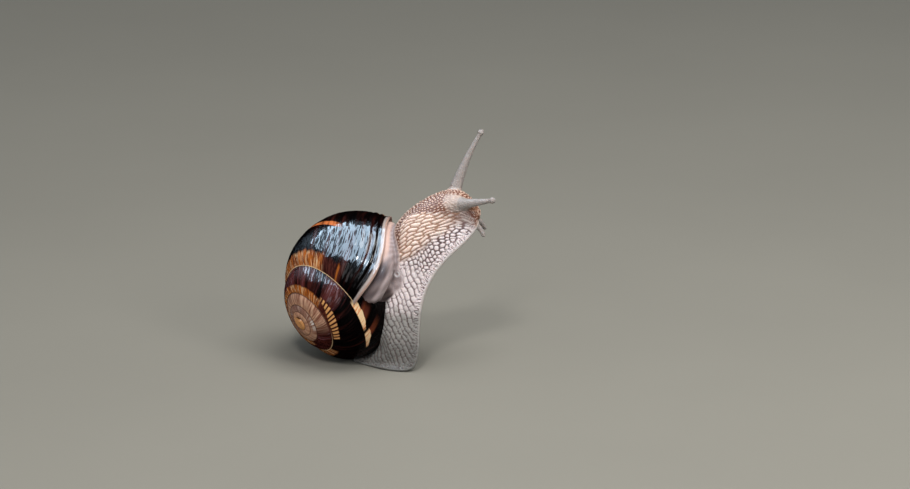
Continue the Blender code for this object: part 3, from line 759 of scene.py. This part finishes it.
def body_rings(at):
    """Closed outlines round the body at section numbers, from mid-sole by the left side."""
    sole_x, sole_z, back_x, back_z, sole_half, half, side = (
        smooth_rows(BODY_SECTIONS, at).T[..., None])
    sole = np.stack((sole_x, side, np.maximum(sole_z, 0)), axis=-1)
    up = np.stack((back_x, side, back_z), axis=-1) - sole
    height = np.linalg.norm(up, axis=-1)
    margin = np.minimum(SOLE_MARGIN, 0.3 * height)
    level = FLANK_LEVEL * height
    share, bend = np.linspace(0, 1, 10, endpoint=False), np.linspace(0, 1, 5, endpoint=False)
    turn = np.linspace(0, math.pi / 2, 27)
    out = np.concatenate((
        (sole_half - 0.7 * margin) * share,
        sole_half - 0.7 * margin * (1 - bend) ** 2,
        half + (sole_half - half) * (1 - share) ** FLANK_LEAN_POWER,
        half * np.cos(turn) ** FLANK_POWER), axis=1)
    rise = np.concatenate((
        0 * height * share, margin * bend ** 2, margin + (level - margin) * share,
        level + (height - level) * np.sin(turn) ** FLANK_POWER), axis=1)
    out = np.concatenate((out, -out[:, -2::-1]), axis=1)[..., None]
    rise = np.concatenate((rise, rise[:, -2::-1]), axis=1)[..., None]
    return sole + up / height[..., None] * rise + out * np.array((0, 1, 0)) + BODY_SHIFT


def closed(bm):
    """Weld a tube's seam and close its two ends."""
    bmesh.ops.remove_doubles(bm, verts=bm.verts, dist=1e-7)
    bmesh.ops.holes_fill(bm, edges=[e for e in bm.edges if e.is_boundary], sides=0)
    bmesh.ops.recalc_face_normals(bm, faces=bm.faces)


section_at = np.linspace(0, len(BODY_SECTIONS) - 1, (len(BODY_SECTIONS) - 1) * SECTION_RINGS + 1)
body_points = body_rings(section_at)
row_steps = np.linalg.norm(np.diff(body_points, axis=0), axis=2)
along_table = np.concatenate((np.zeros_like(row_steps[:1]), np.cumsum(row_steps, axis=0)))
along_table -= along_table[START_SECTION * SECTION_RINGS]
column_steps = np.linalg.norm(np.diff(body_points, axis=1), axis=2)
around_table = np.concatenate(
    (np.zeros_like(column_steps[:, :1]), np.cumsum(column_steps, axis=1)), axis=1)
edge_table = np.minimum(around_table - around_table[:, SOLE_CORNER, None],
                        around_table[:, -1 - SOLE_CORNER, None] - around_table)
around_table -= around_table[:, BACK_COLUMN, None]
flesh_bm, spots = laid_out(body_points)
body_tree = BVHTree.FromBMesh(flesh_bm)
first_corner = np.array([np.min([spots[v.index] for v in face.verts], axis=0)
                         for face in flesh_bm.faces])
closed(flesh_bm)

# the feelers taper to their tips; an upper one ends in a bulb with a socket for its eye
feeler_paths = []
eye_centres = []
for (root, middle, tip), kind in FEELERS:
    root, middle, tip = (np.array(place) + BODY_SHIFT for place in (root, middle, tip))
    bend = 2 * middle - (root + tip) / 2
    share = np.linspace(0, 1, FEELER_RINGS)[:, None]
    path = root * (1 - share) ** 2 + bend * 2 * share * (1 - share) + tip * share ** 2
    table = UPPER_RADII if kind == "upper" else LOWER_RADII
    radii = np.interp(share[:, 0] * (len(table) - 1), range(len(table)), table)
    forward = (path[-1] - path[-2]) / np.linalg.norm(path[-1] - path[-2])
    ball = BULB_RADIUS if kind == "upper" else radii[-1]
    bulb_start = math.asin(min(radii[-1] / ball, 1))
    centre = path[-1] + forward * ball * math.cos(bulb_start)
    turn = np.linspace(math.pi - bulb_start, 0.02, BULB_RINGS)[1:, None]
    feeler_paths.append((np.concatenate((path, centre[None])), np.append(radii, ball), kind))
    if kind == "upper":
        eye_centres.append(centre + forward * ball * math.cos(math.asin(EYE_SOCKET / ball)))
    rows = np.concatenate((path, centre + forward * ball * np.cos(turn)))
    radii = np.concatenate((radii, ball * np.sin(turn[:, 0])))
    heading = np.gradient(rows, axis=0)
    heading /= np.linalg.norm(heading, axis=1)[:, None]
    sideways = np.cross(heading, (0, 1, 0))
    sideways /= np.linalg.norm(sideways, axis=1)[:, None]
    turn = np.linspace(0, TURN, FEELER_SIDES + 1)[:, None]
    ring = (np.cos(turn) * sideways[:, None]
            + np.sin(turn) * np.cross(heading, sideways)[:, None])
    feeler_bm, _ = laid_out(rows[:, None] + radii[:, None, None] * ring)
    closed(feeler_bm)
    absorb(flesh_bm, feeler_bm)

# the mantle's edge is a plug in the shell's mouth with a rounded front
collar_rows = [mouth_row(ahead, LIP_THICKNESS + COLLAR_GAP, CALLUS + COLLAR_GAP, 1)
               for ahead in COLLAR_BACK]
rim = collar_rows[-1]
collar_centre = rim.mean(axis=0)
spokes = rim - collar_centre
facing = np.cross(spokes, np.roll(spokes, -1, axis=0)).sum(axis=0)
facing *= np.sign(facing[0]) / np.linalg.norm(facing)
lowest, highest = rim[:, 2].min(), rim[:, 2].max()
share = 1 - (1 - COLLAR_TOP_SHARE) * (rim[:, 2:] - lowest) / (highest - lowest)
for scale, push in zip(*[np.interp(np.linspace(0, 5, 21), range(6), column)
                         for column in zip(*COLLAR_FRONT)]):
    spread = 1 + (scale - 1) * (share if scale > 1 else 1)
    collar_rows.append(collar_centre + spokes * spread + facing * push * share)
collar_points = np.array(collar_rows)
collar_points = np.concatenate((collar_points, collar_points[:, :1]), axis=1)
collar_bm, _ = laid_out(collar_points)
closed(collar_bm)
collar_tree = BVHTree.FromBMesh(collar_bm)
absorb(flesh_bm, collar_bm)

# the mantle's lower lobe beside the breathing hole
lobe_bm = bmesh.new()
LOBES = (((-1.0, -12.6, 24.9), (3.4, 2.2, 2.6)), ((-3.6, -13.0, 23.6), (3.8, 2.0, 2.4)))
for lobe_centre, lobe_size in LOBES:
    lobe_place = Matrix.Translation(Vector(lobe_centre) * MM) @ Matrix.Diagonal((*lobe_size, 1))
    bmesh.ops.create_uvsphere(lobe_bm, u_segments=32, v_segments=20, radius=MM,
                              matrix=lobe_place)
absorb(flesh_bm, lobe_bm)

# one skin over all of it
parts_mesh = bpy.data.meshes.new("skin_parts")
flesh_bm.to_mesh(parts_mesh)
flesh_bm.free()
parts = bpy.data.objects.new("skin_parts", parts_mesh)
bpy.context.scene.collection.objects.link(parts)
remesh = parts.modifiers.new("one_skin", "REMESH")
remesh.mode, remesh.voxel_size = "VOXEL", VOXEL * MM
joined = parts.evaluated_get(bpy.context.evaluated_depsgraph_get())
skin_bm = bmesh.new()
skin_bm.from_mesh(joined.data)
bpy.data.objects.remove(parts)
bpy.data.meshes.remove(parts_mesh)

# the remesh leaves a few specks apart from the body, and they are taken away
unseen = set(skin_bm.verts)
bodies = []
while unseen:
    reached = [unseen.pop()]
    for vert in reached:
        beyond = {edge.other_vert(vert) for edge in vert.link_edges} & unseen
        unseen -= beyond
        reached.extend(beyond)
    bodies.append(reached)
for specks in sorted(bodies, key=len)[:-1]:
    bmesh.ops.delete(skin_bm, geom=specks, context="VERTS")
FULL_SMOOTH = 3
ROOT_SMOOTH = 16                   # more rounds where a feeler grows from the head
FEELER_ROOT_POINT = 9              # about where a feeler's path leaves the head
smoothed = [(skin_bm.verts[:], FULL_SMOOTH)]
for path, radii, _ in feeler_paths:
    root = Vector(path[FEELER_ROOT_POINT] * MM)
    reach = 1.6 * radii[0] * MM
    smoothed.append(([v for v in skin_bm.verts if (v.co - root).length < reach], ROOT_SMOOTH))
for verts, rounds in smoothed:
    for _ in range(rounds):
        bmesh.ops.smooth_vert(skin_bm, verts=verts, factor=0.5, use_axis_x=True,
                              use_axis_y=True, use_axis_z=True)

# where each vertex lies on the body: mm along it, round from mid-back, up from the sole's edge
skin_points = np.array([vert.co for vert in skin_bm.verts]) / MM
skin_normals = np.array([vert.normal for vert in skin_bm.verts])
found = [body_tree.find_nearest(vert.co) for vert in skin_bm.verts]
row, column = first_corner[[hit[2] for hit in found]].T
foot_point = np.array([hit[0] for hit in found]) / MM - body_points[row, column]
from_body = np.array([hit[3] for hit in found]) / MM
from_collar = np.array([collar_tree.find_nearest(v.co)[3] for v in skin_bm.verts]) / MM
row_step = body_points[row + 1, column] - body_points[row, column]
column_step = body_points[row, column + 1] - body_points[row, column]
row_part = (foot_point * row_step).sum(axis=1) / np.maximum((row_step ** 2).sum(axis=1), 1e-9)
column_part = (foot_point * column_step).sum(axis=1) / np.maximum(
    (column_step ** 2).sum(axis=1), 1e-9)


def on_body(table):
    """A table's values at the vertices' places on the body."""
    here = table[row, column]
    return (here + row_part * (table[row + 1, column] - here)
            + column_part * (table[row, column + 1] - here))


def fade(values, low, high):
    """0 below low and 1 above high, with a smooth step between."""
    part = np.clip((values - low) / (high - low), 0, 1)
    return part * part * (3 - 2 * part)


along, around, edge = on_body(along_table), np.abs(on_body(around_table)), on_body(edge_table)
side_seed = np.where(on_body(around_table) > 0, 0, 31)
along = (along + 0.4 * np.sin(around / 1.9 + along / 3.1)
         + 0.25 * np.sin(around / 0.9 - along / 1.7))
around = (around + 0.35 * np.sin(along / 2.3 + side_seed)
          + 0.2 * np.sin(along / 1.1 + around / 1.3))


def scatter(rows, columns, seed):
    """Even random numbers from whole numbers."""
    value = np.sin(rows * 127.1 + columns * 311.7 + seed * 74.7) * 43758.5453
    return value - np.floor(value)


def warts(across, over, width, length, seed, jitter, row_jitter):
    """Cells in staggered rows, of a width and length in mm: how many mm it is to the
    nearest furrow, and a number for each cell."""
    across, over = across / width, over / length
    lane, spot = np.floor(across), np.floor(over)
    places = []
    for lane_step in (-1, 0, 1):
        for spot_step in (-2, -1, 0, 1, 2):
            r, c = lane + lane_step, spot + spot_step
            draws = [scatter(r, c, seed + side_seed + more) for more in (0, 5, 9)]
            places.append((r + 0.5 + row_jitter * (draws[0] - 0.5) - across,
                           c + 0.5 + 0.5 * (r % 2) + jitter * (draws[1] - 0.5) - over, draws[2]))
    places = np.array(places)
    nearest = (places[:, :2] ** 2).sum(axis=1).argmin(axis=0)
    own = places[nearest, :, np.arange(len(along))].T
    furrow = np.full(len(along), 9.0)
    for other in places:
        gap = other[:2] - own[:2]
        middle = 0.5 * (other[:2] + own[:2])
        slope = np.hypot(gap[0] / width, gap[1] / length)
        here = (middle * gap).sum(axis=0) / np.maximum(slope, 1e-6)
        furrow = np.where(slope > 1e-3, np.minimum(furrow, here), furrow)
    return furrow, own[2]


# the neck's back has small warts, then long ridges; the flank has slanting rows of tiles
neck_edge = np.interp(along, (-14, -7.7, -4.2, 1.4, 6.4, 12, 16, 22),
                      (-2, 8, 11.7, 14.5, 15.2, 13, 10, 7))
on_neck = 1 - fade(around - neck_edge, -0.9, 0.9)
on_head = fade(along, 11, 16)
on_top = 1 - fade(around + 2 * np.sin(along / 3) - 2.0 * on_head, 4.2, 6.2)
ROW_SLANT = math.radians(52)        # the flank's furrows run down and back at this slant
ROW_BEND = 0.012
TILE_WIDTH = 1.55
slanted = (along * math.cos(ROW_SLANT) + around * math.sin(ROW_SLANT)
           - ROW_BEND * (around - 12) * np.abs(around - 12))
slanted_back = around * math.cos(ROW_SLANT) - along * math.sin(ROW_SLANT)
small_furrow, small_number = warts(around, along, 0.90, 1.05, 1, 0.6, 0.6)
ridge_drift = 0.7 * np.where(along < 0, along, 6 * (1 - np.exp(-np.maximum(along, 0) / 6)))
ridge_furrow, ridge_number = warts(around - ridge_drift, along, 1.2, 3.2, 2, 0.6, 0.35)
fine_furrow, fine_number = warts(slanted, slanted_back, 1.15, 1.5, 3, 0.6, 0.35)
tile_furrow, tile_number = warts(slanted, slanted_back, TILE_WIDTH, 2.0, 4, 0.6, 0.1)
inner_furrow, _ = warts(slanted, slanted_back, 0.72, 1.0, 5, 0.7, 0.3)
fringe_furrow, fringe_number = warts(along, around, 0.60, 3.0, 6, 0.5, 0.3)
round_share = np.maximum(on_top, on_head)
neck_height = (fade(small_furrow, 0.05, 0.50) * round_share
               + fade(ridge_furrow, 0.0, 0.46) * (1 - round_share))
neck_number = np.where(round_share > 0.5, small_number, ridge_number)
on_foot = 1 - fade(along, -11, -5)
rows_apart = slanted / TILE_WIDTH
row_furrow = fade(np.abs(rows_apart - np.round(rows_apart)) * TILE_WIDTH, 0.04, 0.30)
tile_height = (fade(tile_furrow, 0.0, 0.28) * 0.55 + fade(inner_furrow, 0.0, 0.24) * 0.2
               + row_furrow * 0.25) * (0.45 + 0.55 * row_furrow)
flank_height = tile_height * on_foot + fade(fine_furrow, 0.0, 0.38) * (1 - on_foot)
tile_number = np.where(on_foot > 0.5, tile_number, fine_number)
fringe = 1 - fade(edge, 1.5 + 2 * on_head, 2.8 + 3 * on_head)
flank_height = flank_height * (1 - fringe) + fade(fringe_furrow, 0.0, 0.2) * fringe
flank_number = np.where(fringe > 0.5, fringe_number, tile_number)
height = neck_height * on_neck + flank_height * (1 - on_neck)
number = np.where(on_neck > 0.5, neck_number, flank_number)
smooth_edge = 1 - fade(edge, 0.25, 0.7)

# feelers and the mantle's edge are smooth; furrows ring the feelers' roots
on_feeler = np.zeros(len(along))
ring_furrow = np.zeros(len(along))
for path, radii, kind in feeler_paths:
    gaps = np.linalg.norm(skin_points[:, None] - path, axis=2) - radii
    near = gaps.argmin(axis=1)
    gap = gaps.min(axis=1)
    share = near / len(path)
    root_at = 0.16 if kind == "upper" else 0.25
    here = (1 - fade(gap, 0.12, 0.5)) * fade(share, root_at - 0.1, root_at + 0.08)
    mound = (1 - fade(gap, 0.2, 1.1)) * (0.5 if path[-1, 1] < BODY_SHIFT[1] else 0.3)
    on_feeler = np.maximum(on_feeler, np.maximum(here, mound))
    ring = np.exp(-((share - root_at - 0.02) / 0.03) ** 2) * (1 - fade(gap, 0.3, 1.0))
    ring_furrow = np.maximum(ring_furrow, ring * 0.35)
BREATHING_HOLE = np.array((2.2, -14.6, 30.2))
from_hole = np.linalg.norm((skin_points - BREATHING_HOLE) * (1, 0.5, 1), axis=1)
on_collar = np.maximum(fade(from_body - from_collar, -0.15, 0.45), 1 - fade(from_collar, 0.9, 2.0))
beside_hole = (skin_points - BREATHING_HOLE + (2.0, 0, 1.6)) / (4.2, 9.0, 4.6)
on_collar = np.maximum(on_collar, 1 - fade(np.linalg.norm(beside_hole, axis=1), 0.75, 1.15))
for lobe_centre, lobe_size in LOBES:
    from_lobe = np.linalg.norm((skin_points - lobe_centre) / lobe_size, axis=1)
    on_collar = np.maximum(on_collar, 1 - fade(from_lobe, 1.05, 1.25))
plain = np.clip(on_feeler + on_collar + smooth_edge, 0, 1)
COLLAR_FOLDS = 34
from_middle = skin_points - collar_centre
round_collar = np.arctan2(from_middle[:, 2], from_middle[:, 1])
collar_fold = np.sin(COLLAR_FOLDS * round_collar + 2 * np.sin(5 * round_collar)
                     + 0.8 * skin_points[:, 0])
collar_fold = on_collar * (0.5 + 0.5 * collar_fold)

CREASES = (
    # furrows drawn on both sides: x and z in mm, half-width, strength, how orange they are
    (((17.9, 50.3), (20.6, 48.7), (22.5, 49.7), (24.6, 49.8), (26.9, 49.2)), 0.34, 1.0, 1.0),
    (((-1.0, 29.2), (2.8, 34.0), (6.9, 35.8), (12.1, 39.6)), 0.50, 0.55, 0.2),
    (((16.3, 48.6), (19.6, 47.0), (22.4, 46.6)), 0.30, 0.65, 0.4),
)
crease = np.zeros(len(along))
warm = np.zeros(len(along))
for line, half_width, strength, orange in CREASES:
    nearest = np.full(len(along), 99.0)
    for begin, end in zip(np.array(line), np.array(line)[1:]):
        offset = skin_points[:, [0, 2]] - begin
        share = np.clip(offset @ (end - begin) / ((end - begin) ** 2).sum(), 0, 1)
        from_line = np.linalg.norm(offset - share[:, None] * (end - begin), axis=1)
        nearest = np.minimum(nearest, from_line)
    here = np.exp(-(nearest / half_width) ** 2) * (1 - plain)
    crease = np.maximum(crease, here * strength)
    warm = np.maximum(warm, orange * np.exp(-(nearest / half_width / 1.5) ** 2) * (1 - plain))

# the breathing hole at the mantle's edge is a small raised ring round a pit, and the mouth a short
# slit; the finish paints a glint on the ring and shade in the pit
MOUTH = np.array((27.0, -6.4, 45.4))
hole_ring = np.exp(-((from_hole - 0.85) / 0.28) ** 2)
hole_ring *= fade(skin_points[:, 0] - 1.4 * skin_points[:, 2], -41.6, -40.2)
hole_pit = np.exp(-(from_hole / 0.5) ** 2)
from_mouth = np.linalg.norm((skin_points - MOUTH) / (1.2, 0.55, 1.5), axis=1)
mouth_pit = np.exp(-from_mouth ** 2)
lips = np.exp(-((from_mouth - 1.8) / 0.6) ** 2)

relief = (height - 0.65) * (0.38 * on_neck + 0.26 * (1 - on_neck)) * (1 - plain)
relief += 0.08 * smooth_edge - 0.35 * crease - 0.22 * ring_furrow - 0.07 * collar_fold
relief += 0.22 * hole_ring - 0.45 * hole_pit - 0.8 * mouth_pit + 0.25 * lips
relief *= fade(skin_points[:, 2], 0.1, 0.9) * fade(edge, -0.8, 0.1)
skin_points = skin_points + skin_normals * relief[:, None]

# points are pushed out through the shell's nearest wall, which leaves a few deep in its mouth
# still inside it, and off the eyes, which the faces between them still touch; then all are
# kept above the floor and inside the solid's box
shell_bm = bmesh.new()
shell_bm.from_mesh(shell.data)
shell_tree = BVHTree.FromBMesh(shell_bm)
shell_bm.free()
from_shell = np.zeros(len(along))
for index, point in enumerate(skin_points):
    place, normal, _, gap = shell_tree.find_nearest(Vector(point * MM))
    away = (Vector(point * MM) - place).dot(normal)
    if away < CLEARANCE * MM and gap < DEEPEST * MM:
        skin_points[index] = (place + normal * CLEARANCE * MM) / MM
        gap = CLEARANCE * MM
    from_shell[index] = gap / MM
for (path, _, _), centre in zip(feeler_paths, eye_centres):
    away = skin_points - path[-1]
    reach = np.linalg.norm(away, axis=1)[:, None]
    ahead = (away @ (path[-1] - path[-3]))[:, None] / reach / np.linalg.norm(path[-1] - path[-3])
    round_off = (1 - fade(reach, 1.1, 1.4)) * fade(ahead, -0.65, -0.35)
    skin_points = skin_points + round_off * away * (BULB_RADIUS / reach - 1)
    away = skin_points - centre
    reach = np.linalg.norm(away, axis=1)[:, None]
    skin_points = np.where(reach < EYE_RADIUS + EYE_GAP,
                           centre + away / reach * (EYE_RADIUS + EYE_GAP), skin_points)
low_corner = np.array(cad_box[0]) / MM + BOX_MARGIN
high_corner = np.array(cad_box[1]) / MM - BOX_MARGIN
low_corner[2] = 0
skin_points = np.clip(skin_points, low_corner, high_corner)

furrow_dark = (1 - height) * (1 - plain)
furrow_dark = np.maximum(furrow_dark, np.maximum(crease, mouth_pit))
neck_tint = 1 - fade(around - neck_edge, -3.0, 2.2)
low_down = 1 - fade(skin_points[:, 2], 2, 26)
high_up = fade(skin_points[:, 2], 28, 42)
# marks for the finish, three values to each
MARKS = {
    "pattern": (furrow_dark, number, neck_tint),
    "places": (on_collar, on_feeler, np.maximum(warm, ring_furrow)),
    "levels": (low_down, smooth_edge, fade(along, 8.0, 14.5)),
    "details": (on_top, hole_ring - hole_pit, fade(around, 4, 16)),
    "edges": (from_shell, high_up, collar_fold),
}
for name, values in MARKS.items():
    layer = skin_bm.verts.layers.float_vector.new(name)
    for vert, value in zip(skin_bm.verts, np.stack(values, axis=1)):
        vert[layer] = value
for vert, point in zip(skin_bm.verts, skin_points):
    vert.co = point * MM

skin_finish, skin_shader, start = new_finish(
    "moist_skin", IOR=1.35, Specular_IOR_Level=0.25, Coat_Roughness=0.14, Coat_IOR=1.33,
    Subsurface_Weight=0.10, Subsurface_Scale=0.0012, Subsurface_Radius=(1.0, 0.45, 0.30))


def marks_of(name):
    """The three values of a mark on the mesh."""
    mark = start.node("Attribute", {"attribute_name": name}, output=1)
    return start.node("SeparateXYZ", None, {0: mark}, output=[0, 1, 2])


furrow, number, neck = marks_of("pattern")
collar, feeler, orange = marks_of("places")
low, rim, head = marks_of("levels")
top, hole_glint_and_shade, flank = marks_of("details")
shell_gap, high, fold = marks_of("edges")
place = start.node("TexCoord", output=3)
mottle = start.node("TexNoise", None, {"Vector": place, "Scale": 420.0, "Detail": 3.0})
grain = start.node("TexNoise", None, {"Vector": place, "Scale": 2600.0, "Detail": 2.0})
blotch = start.node("TexNoise", None, {"Vector": place, "Scale": 130.0, "Detail": 2.0})

CREAM_SKIN = (0.84, 0.65, 0.56, 1)
PINK_SKIN = (0.76, 0.54, 0.43, 1)
LILAC_SKIN = (0.84, 0.74, 0.75, 1)
FOOT_SKIN = (0.33, 0.315, 0.302, 1)
LOW_SKIN = (0.19, 0.185, 0.175, 1)
HEAD_SKIN = (0.24, 0.185, 0.16, 1)
BROWN_FURROW = (0.15, 0.050, 0.022, 1)
TAN_FURROW = (0.40, 0.23, 0.16, 1)
LILAC_FURROW = (0.13, 0.080, 0.080, 1)
FOOT_FURROW = (0.10, 0.075, 0.070, 1)
ORANGE_SKIN = (0.26, 0.135, 0.080, 1)
FEELER_SKIN = (0.27, 0.26, 0.25, 1)
FEELER_PINK = (0.36, 0.31, 0.29, 1)
# a painted glint colour, used only on the breathing hole's ring
HOLE_GLINT_PAINT = (0.60, 0.60, 0.62, 1)
COLLAR_PINK = (0.62, 0.43, 0.37, 1)
COLLAR_SKIN = (0.40, 0.325, 0.325, 1)
# the next two colours are painted shade: on the mantle's edge, in its folds and in the breathing
# hole's pit
COLLAR_SHADE_PAINT = (0.150, 0.112, 0.108, 1)
PAINTED_DEEP_SHADE = (0.055, 0.038, 0.040, 1)
# a painted highlight colour for the sole's edge
SOLE_EDGE_HIGHLIGHT = (0.42, 0.39, 0.36, 1)

scales = start.node("TexVoronoi", {"feature": "DISTANCE_TO_EDGE"},
                    {"Vector": place, "Scale": 1500.0})
lit = mottle * 0.5 + number * 0.5
back = (top * 0.8 + lit * 0.4 - 0.1).rise(0.15, 0.9).over(CREAM_SKIN, PINK_SKIN)
side = (low * 1.7 + (lit - 0.5) * 0.5).rise(0.05, 0.60).over(LILAC_SKIN, FOOT_SKIN)
side = (low * 1.0 + (lit - 0.5) * 0.3).rise(0.5, 1.0).over(side, LOW_SKIN)
colour = neck.over(side, back)
colour = (head * (flank * 0.9 + blotch * 0.3).rise(0.15, 0.55) * 0.75).over(colour, HEAD_SKIN)
side_furrow = low.rise(0.1, 0.5).over(LILAC_FURROW, FOOT_FURROW)
back_furrow = (top + head * 0.6).rise(0.2, 0.8).over(TAN_FURROW, BROWN_FURROW)
furrow_colour = neck.over(side_furrow, back_furrow)
colour = (furrow * (0.75 + mottle * 0.4)).rise(0.10, 0.88).over(colour, furrow_colour)
# painted highlight: a pale band along the sole's edge, where it rises at the front
colour = (rim * (0.75 - low * 0.75)).over(colour, SOLE_EDGE_HIGHLIGHT)
colour = (orange * (0.5 + mottle * 0.6)).rise(0.15, 0.9).over(colour, ORANGE_SKIN)
feeler_colour = (scales * 5 + blotch * 0.4).rise(0.15, 0.75).over(FEELER_SKIN, FEELER_PINK)
colour = feeler.over(colour, feeler_colour)
# the mantle's edge is grey-lilac with a pink band high up by the lip; painted shade darkens it low
# down and near the shell, in its folds, under the lip and in the gap by the shell
by_shell = 1 - (shell_gap - high * 0.4).rise(0.8, 2.0)
gap_shade = (1 - shell_gap.rise(1.6, 3.2)) * high.between(0.0, 0.12, 0.25, 0.6)
collar_unshaded = high.rise(0.15, 0.70).most(shell_gap.rise(2.3, 3.9))
collar_colour = (collar_unshaded + (blotch - 0.5) * 0.6).rise(0.0, 1.0).over(COLLAR_SHADE_PAINT, COLLAR_SKIN)
collar_colour = (fold * (1 - collar_unshaded * 0.6) * 0.6).over(collar_colour, PAINTED_DEEP_SHADE)
collar_colour = (by_shell * (1 - high.rise(0.2, 0.6)) * 0.5).over(collar_colour, PAINTED_DEEP_SHADE)
collar_colour = (gap_shade * 0.85).over(collar_colour, PAINTED_DEEP_SHADE)
collar_colour = (by_shell * high.rise(0.35, 0.85)).over(collar_colour, COLLAR_PINK)
colour = collar.over(colour, collar_colour)
# painted highlight on the breathing hole's ring, then painted shade in its pit
colour = (hole_glint_and_shade.rise(0.1, 1.0) * 0.8).over(colour, HOLE_GLINT_PAINT)
colour = (0 - hole_glint_and_shade).rise(0.15, 0.7).over(colour, PAINTED_DEEP_SHADE)
wet = 0.26 - feeler * 0.15 - collar * 0.14 + (blotch - 0.5) * 0.6
bump = start.node("Bump", None, {"Strength": 0.6, "Distance": 0.00012, "Height":
                                 grain * 0.5 + mottle * 0.6 + scales * feeler * 4 + scales})
feed(skin_shader, start, Base_Color=colour, Roughness=0.50 + furrow * 0.1 + collar * 0.15,
     Coat_Weight=wet, Normal=bump)
skin = add_piece("skin", skin_bm, skin_finish)
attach(skin, "root")
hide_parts("tail", "foot", "neck", "head", "mantle_collar", "tentacle_upper_left",
            "tentacle_upper_right", "tentacle_lower_left", "tentacle_lower_right")


# --------------------------------------------------------------------------------- eyes
# Each eye is a dark glossy bead under clear skin at the tip of an upper feeler, a little
# flattened in front and clouded with brown.
EYE_BLACK = (0.010, 0.008, 0.009, 1)
EYE_BROWN = (0.06, 0.03, 0.02, 1)
EYE_FLATTENING = 0.06              # mm
eye_bm = bmesh.new()
for centre in eye_centres:
    made = bmesh.ops.create_uvsphere(eye_bm, u_segments=32, v_segments=20, radius=EYE_RADIUS * MM)
    for vert in made["verts"]:
        vert.co.x -= EYE_FLATTENING * MM * max(vert.co.x / (EYE_RADIUS * MM), 0) ** 4
        vert.co += Vector(centre * MM)
eye_finish, eye_shader, start = new_finish("eye_bead", Coat_Weight=1.0, Coat_Roughness=0.02)
place = start.node("TexCoord", output=3)
cloud = start.node("TexNoise", None, {"Vector": place, "Scale": 3500.0, "Detail": 2.0})
feed(eye_shader, start, Base_Color=cloud.rise(0.5, 0.7).over(EYE_BLACK, EYE_BROWN),
     Roughness=0.12 + cloud * 0.1)
eyes = add_piece("eyes", eye_bm, eye_finish)
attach(eyes, "root")
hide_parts("eye_left", "eye_right")
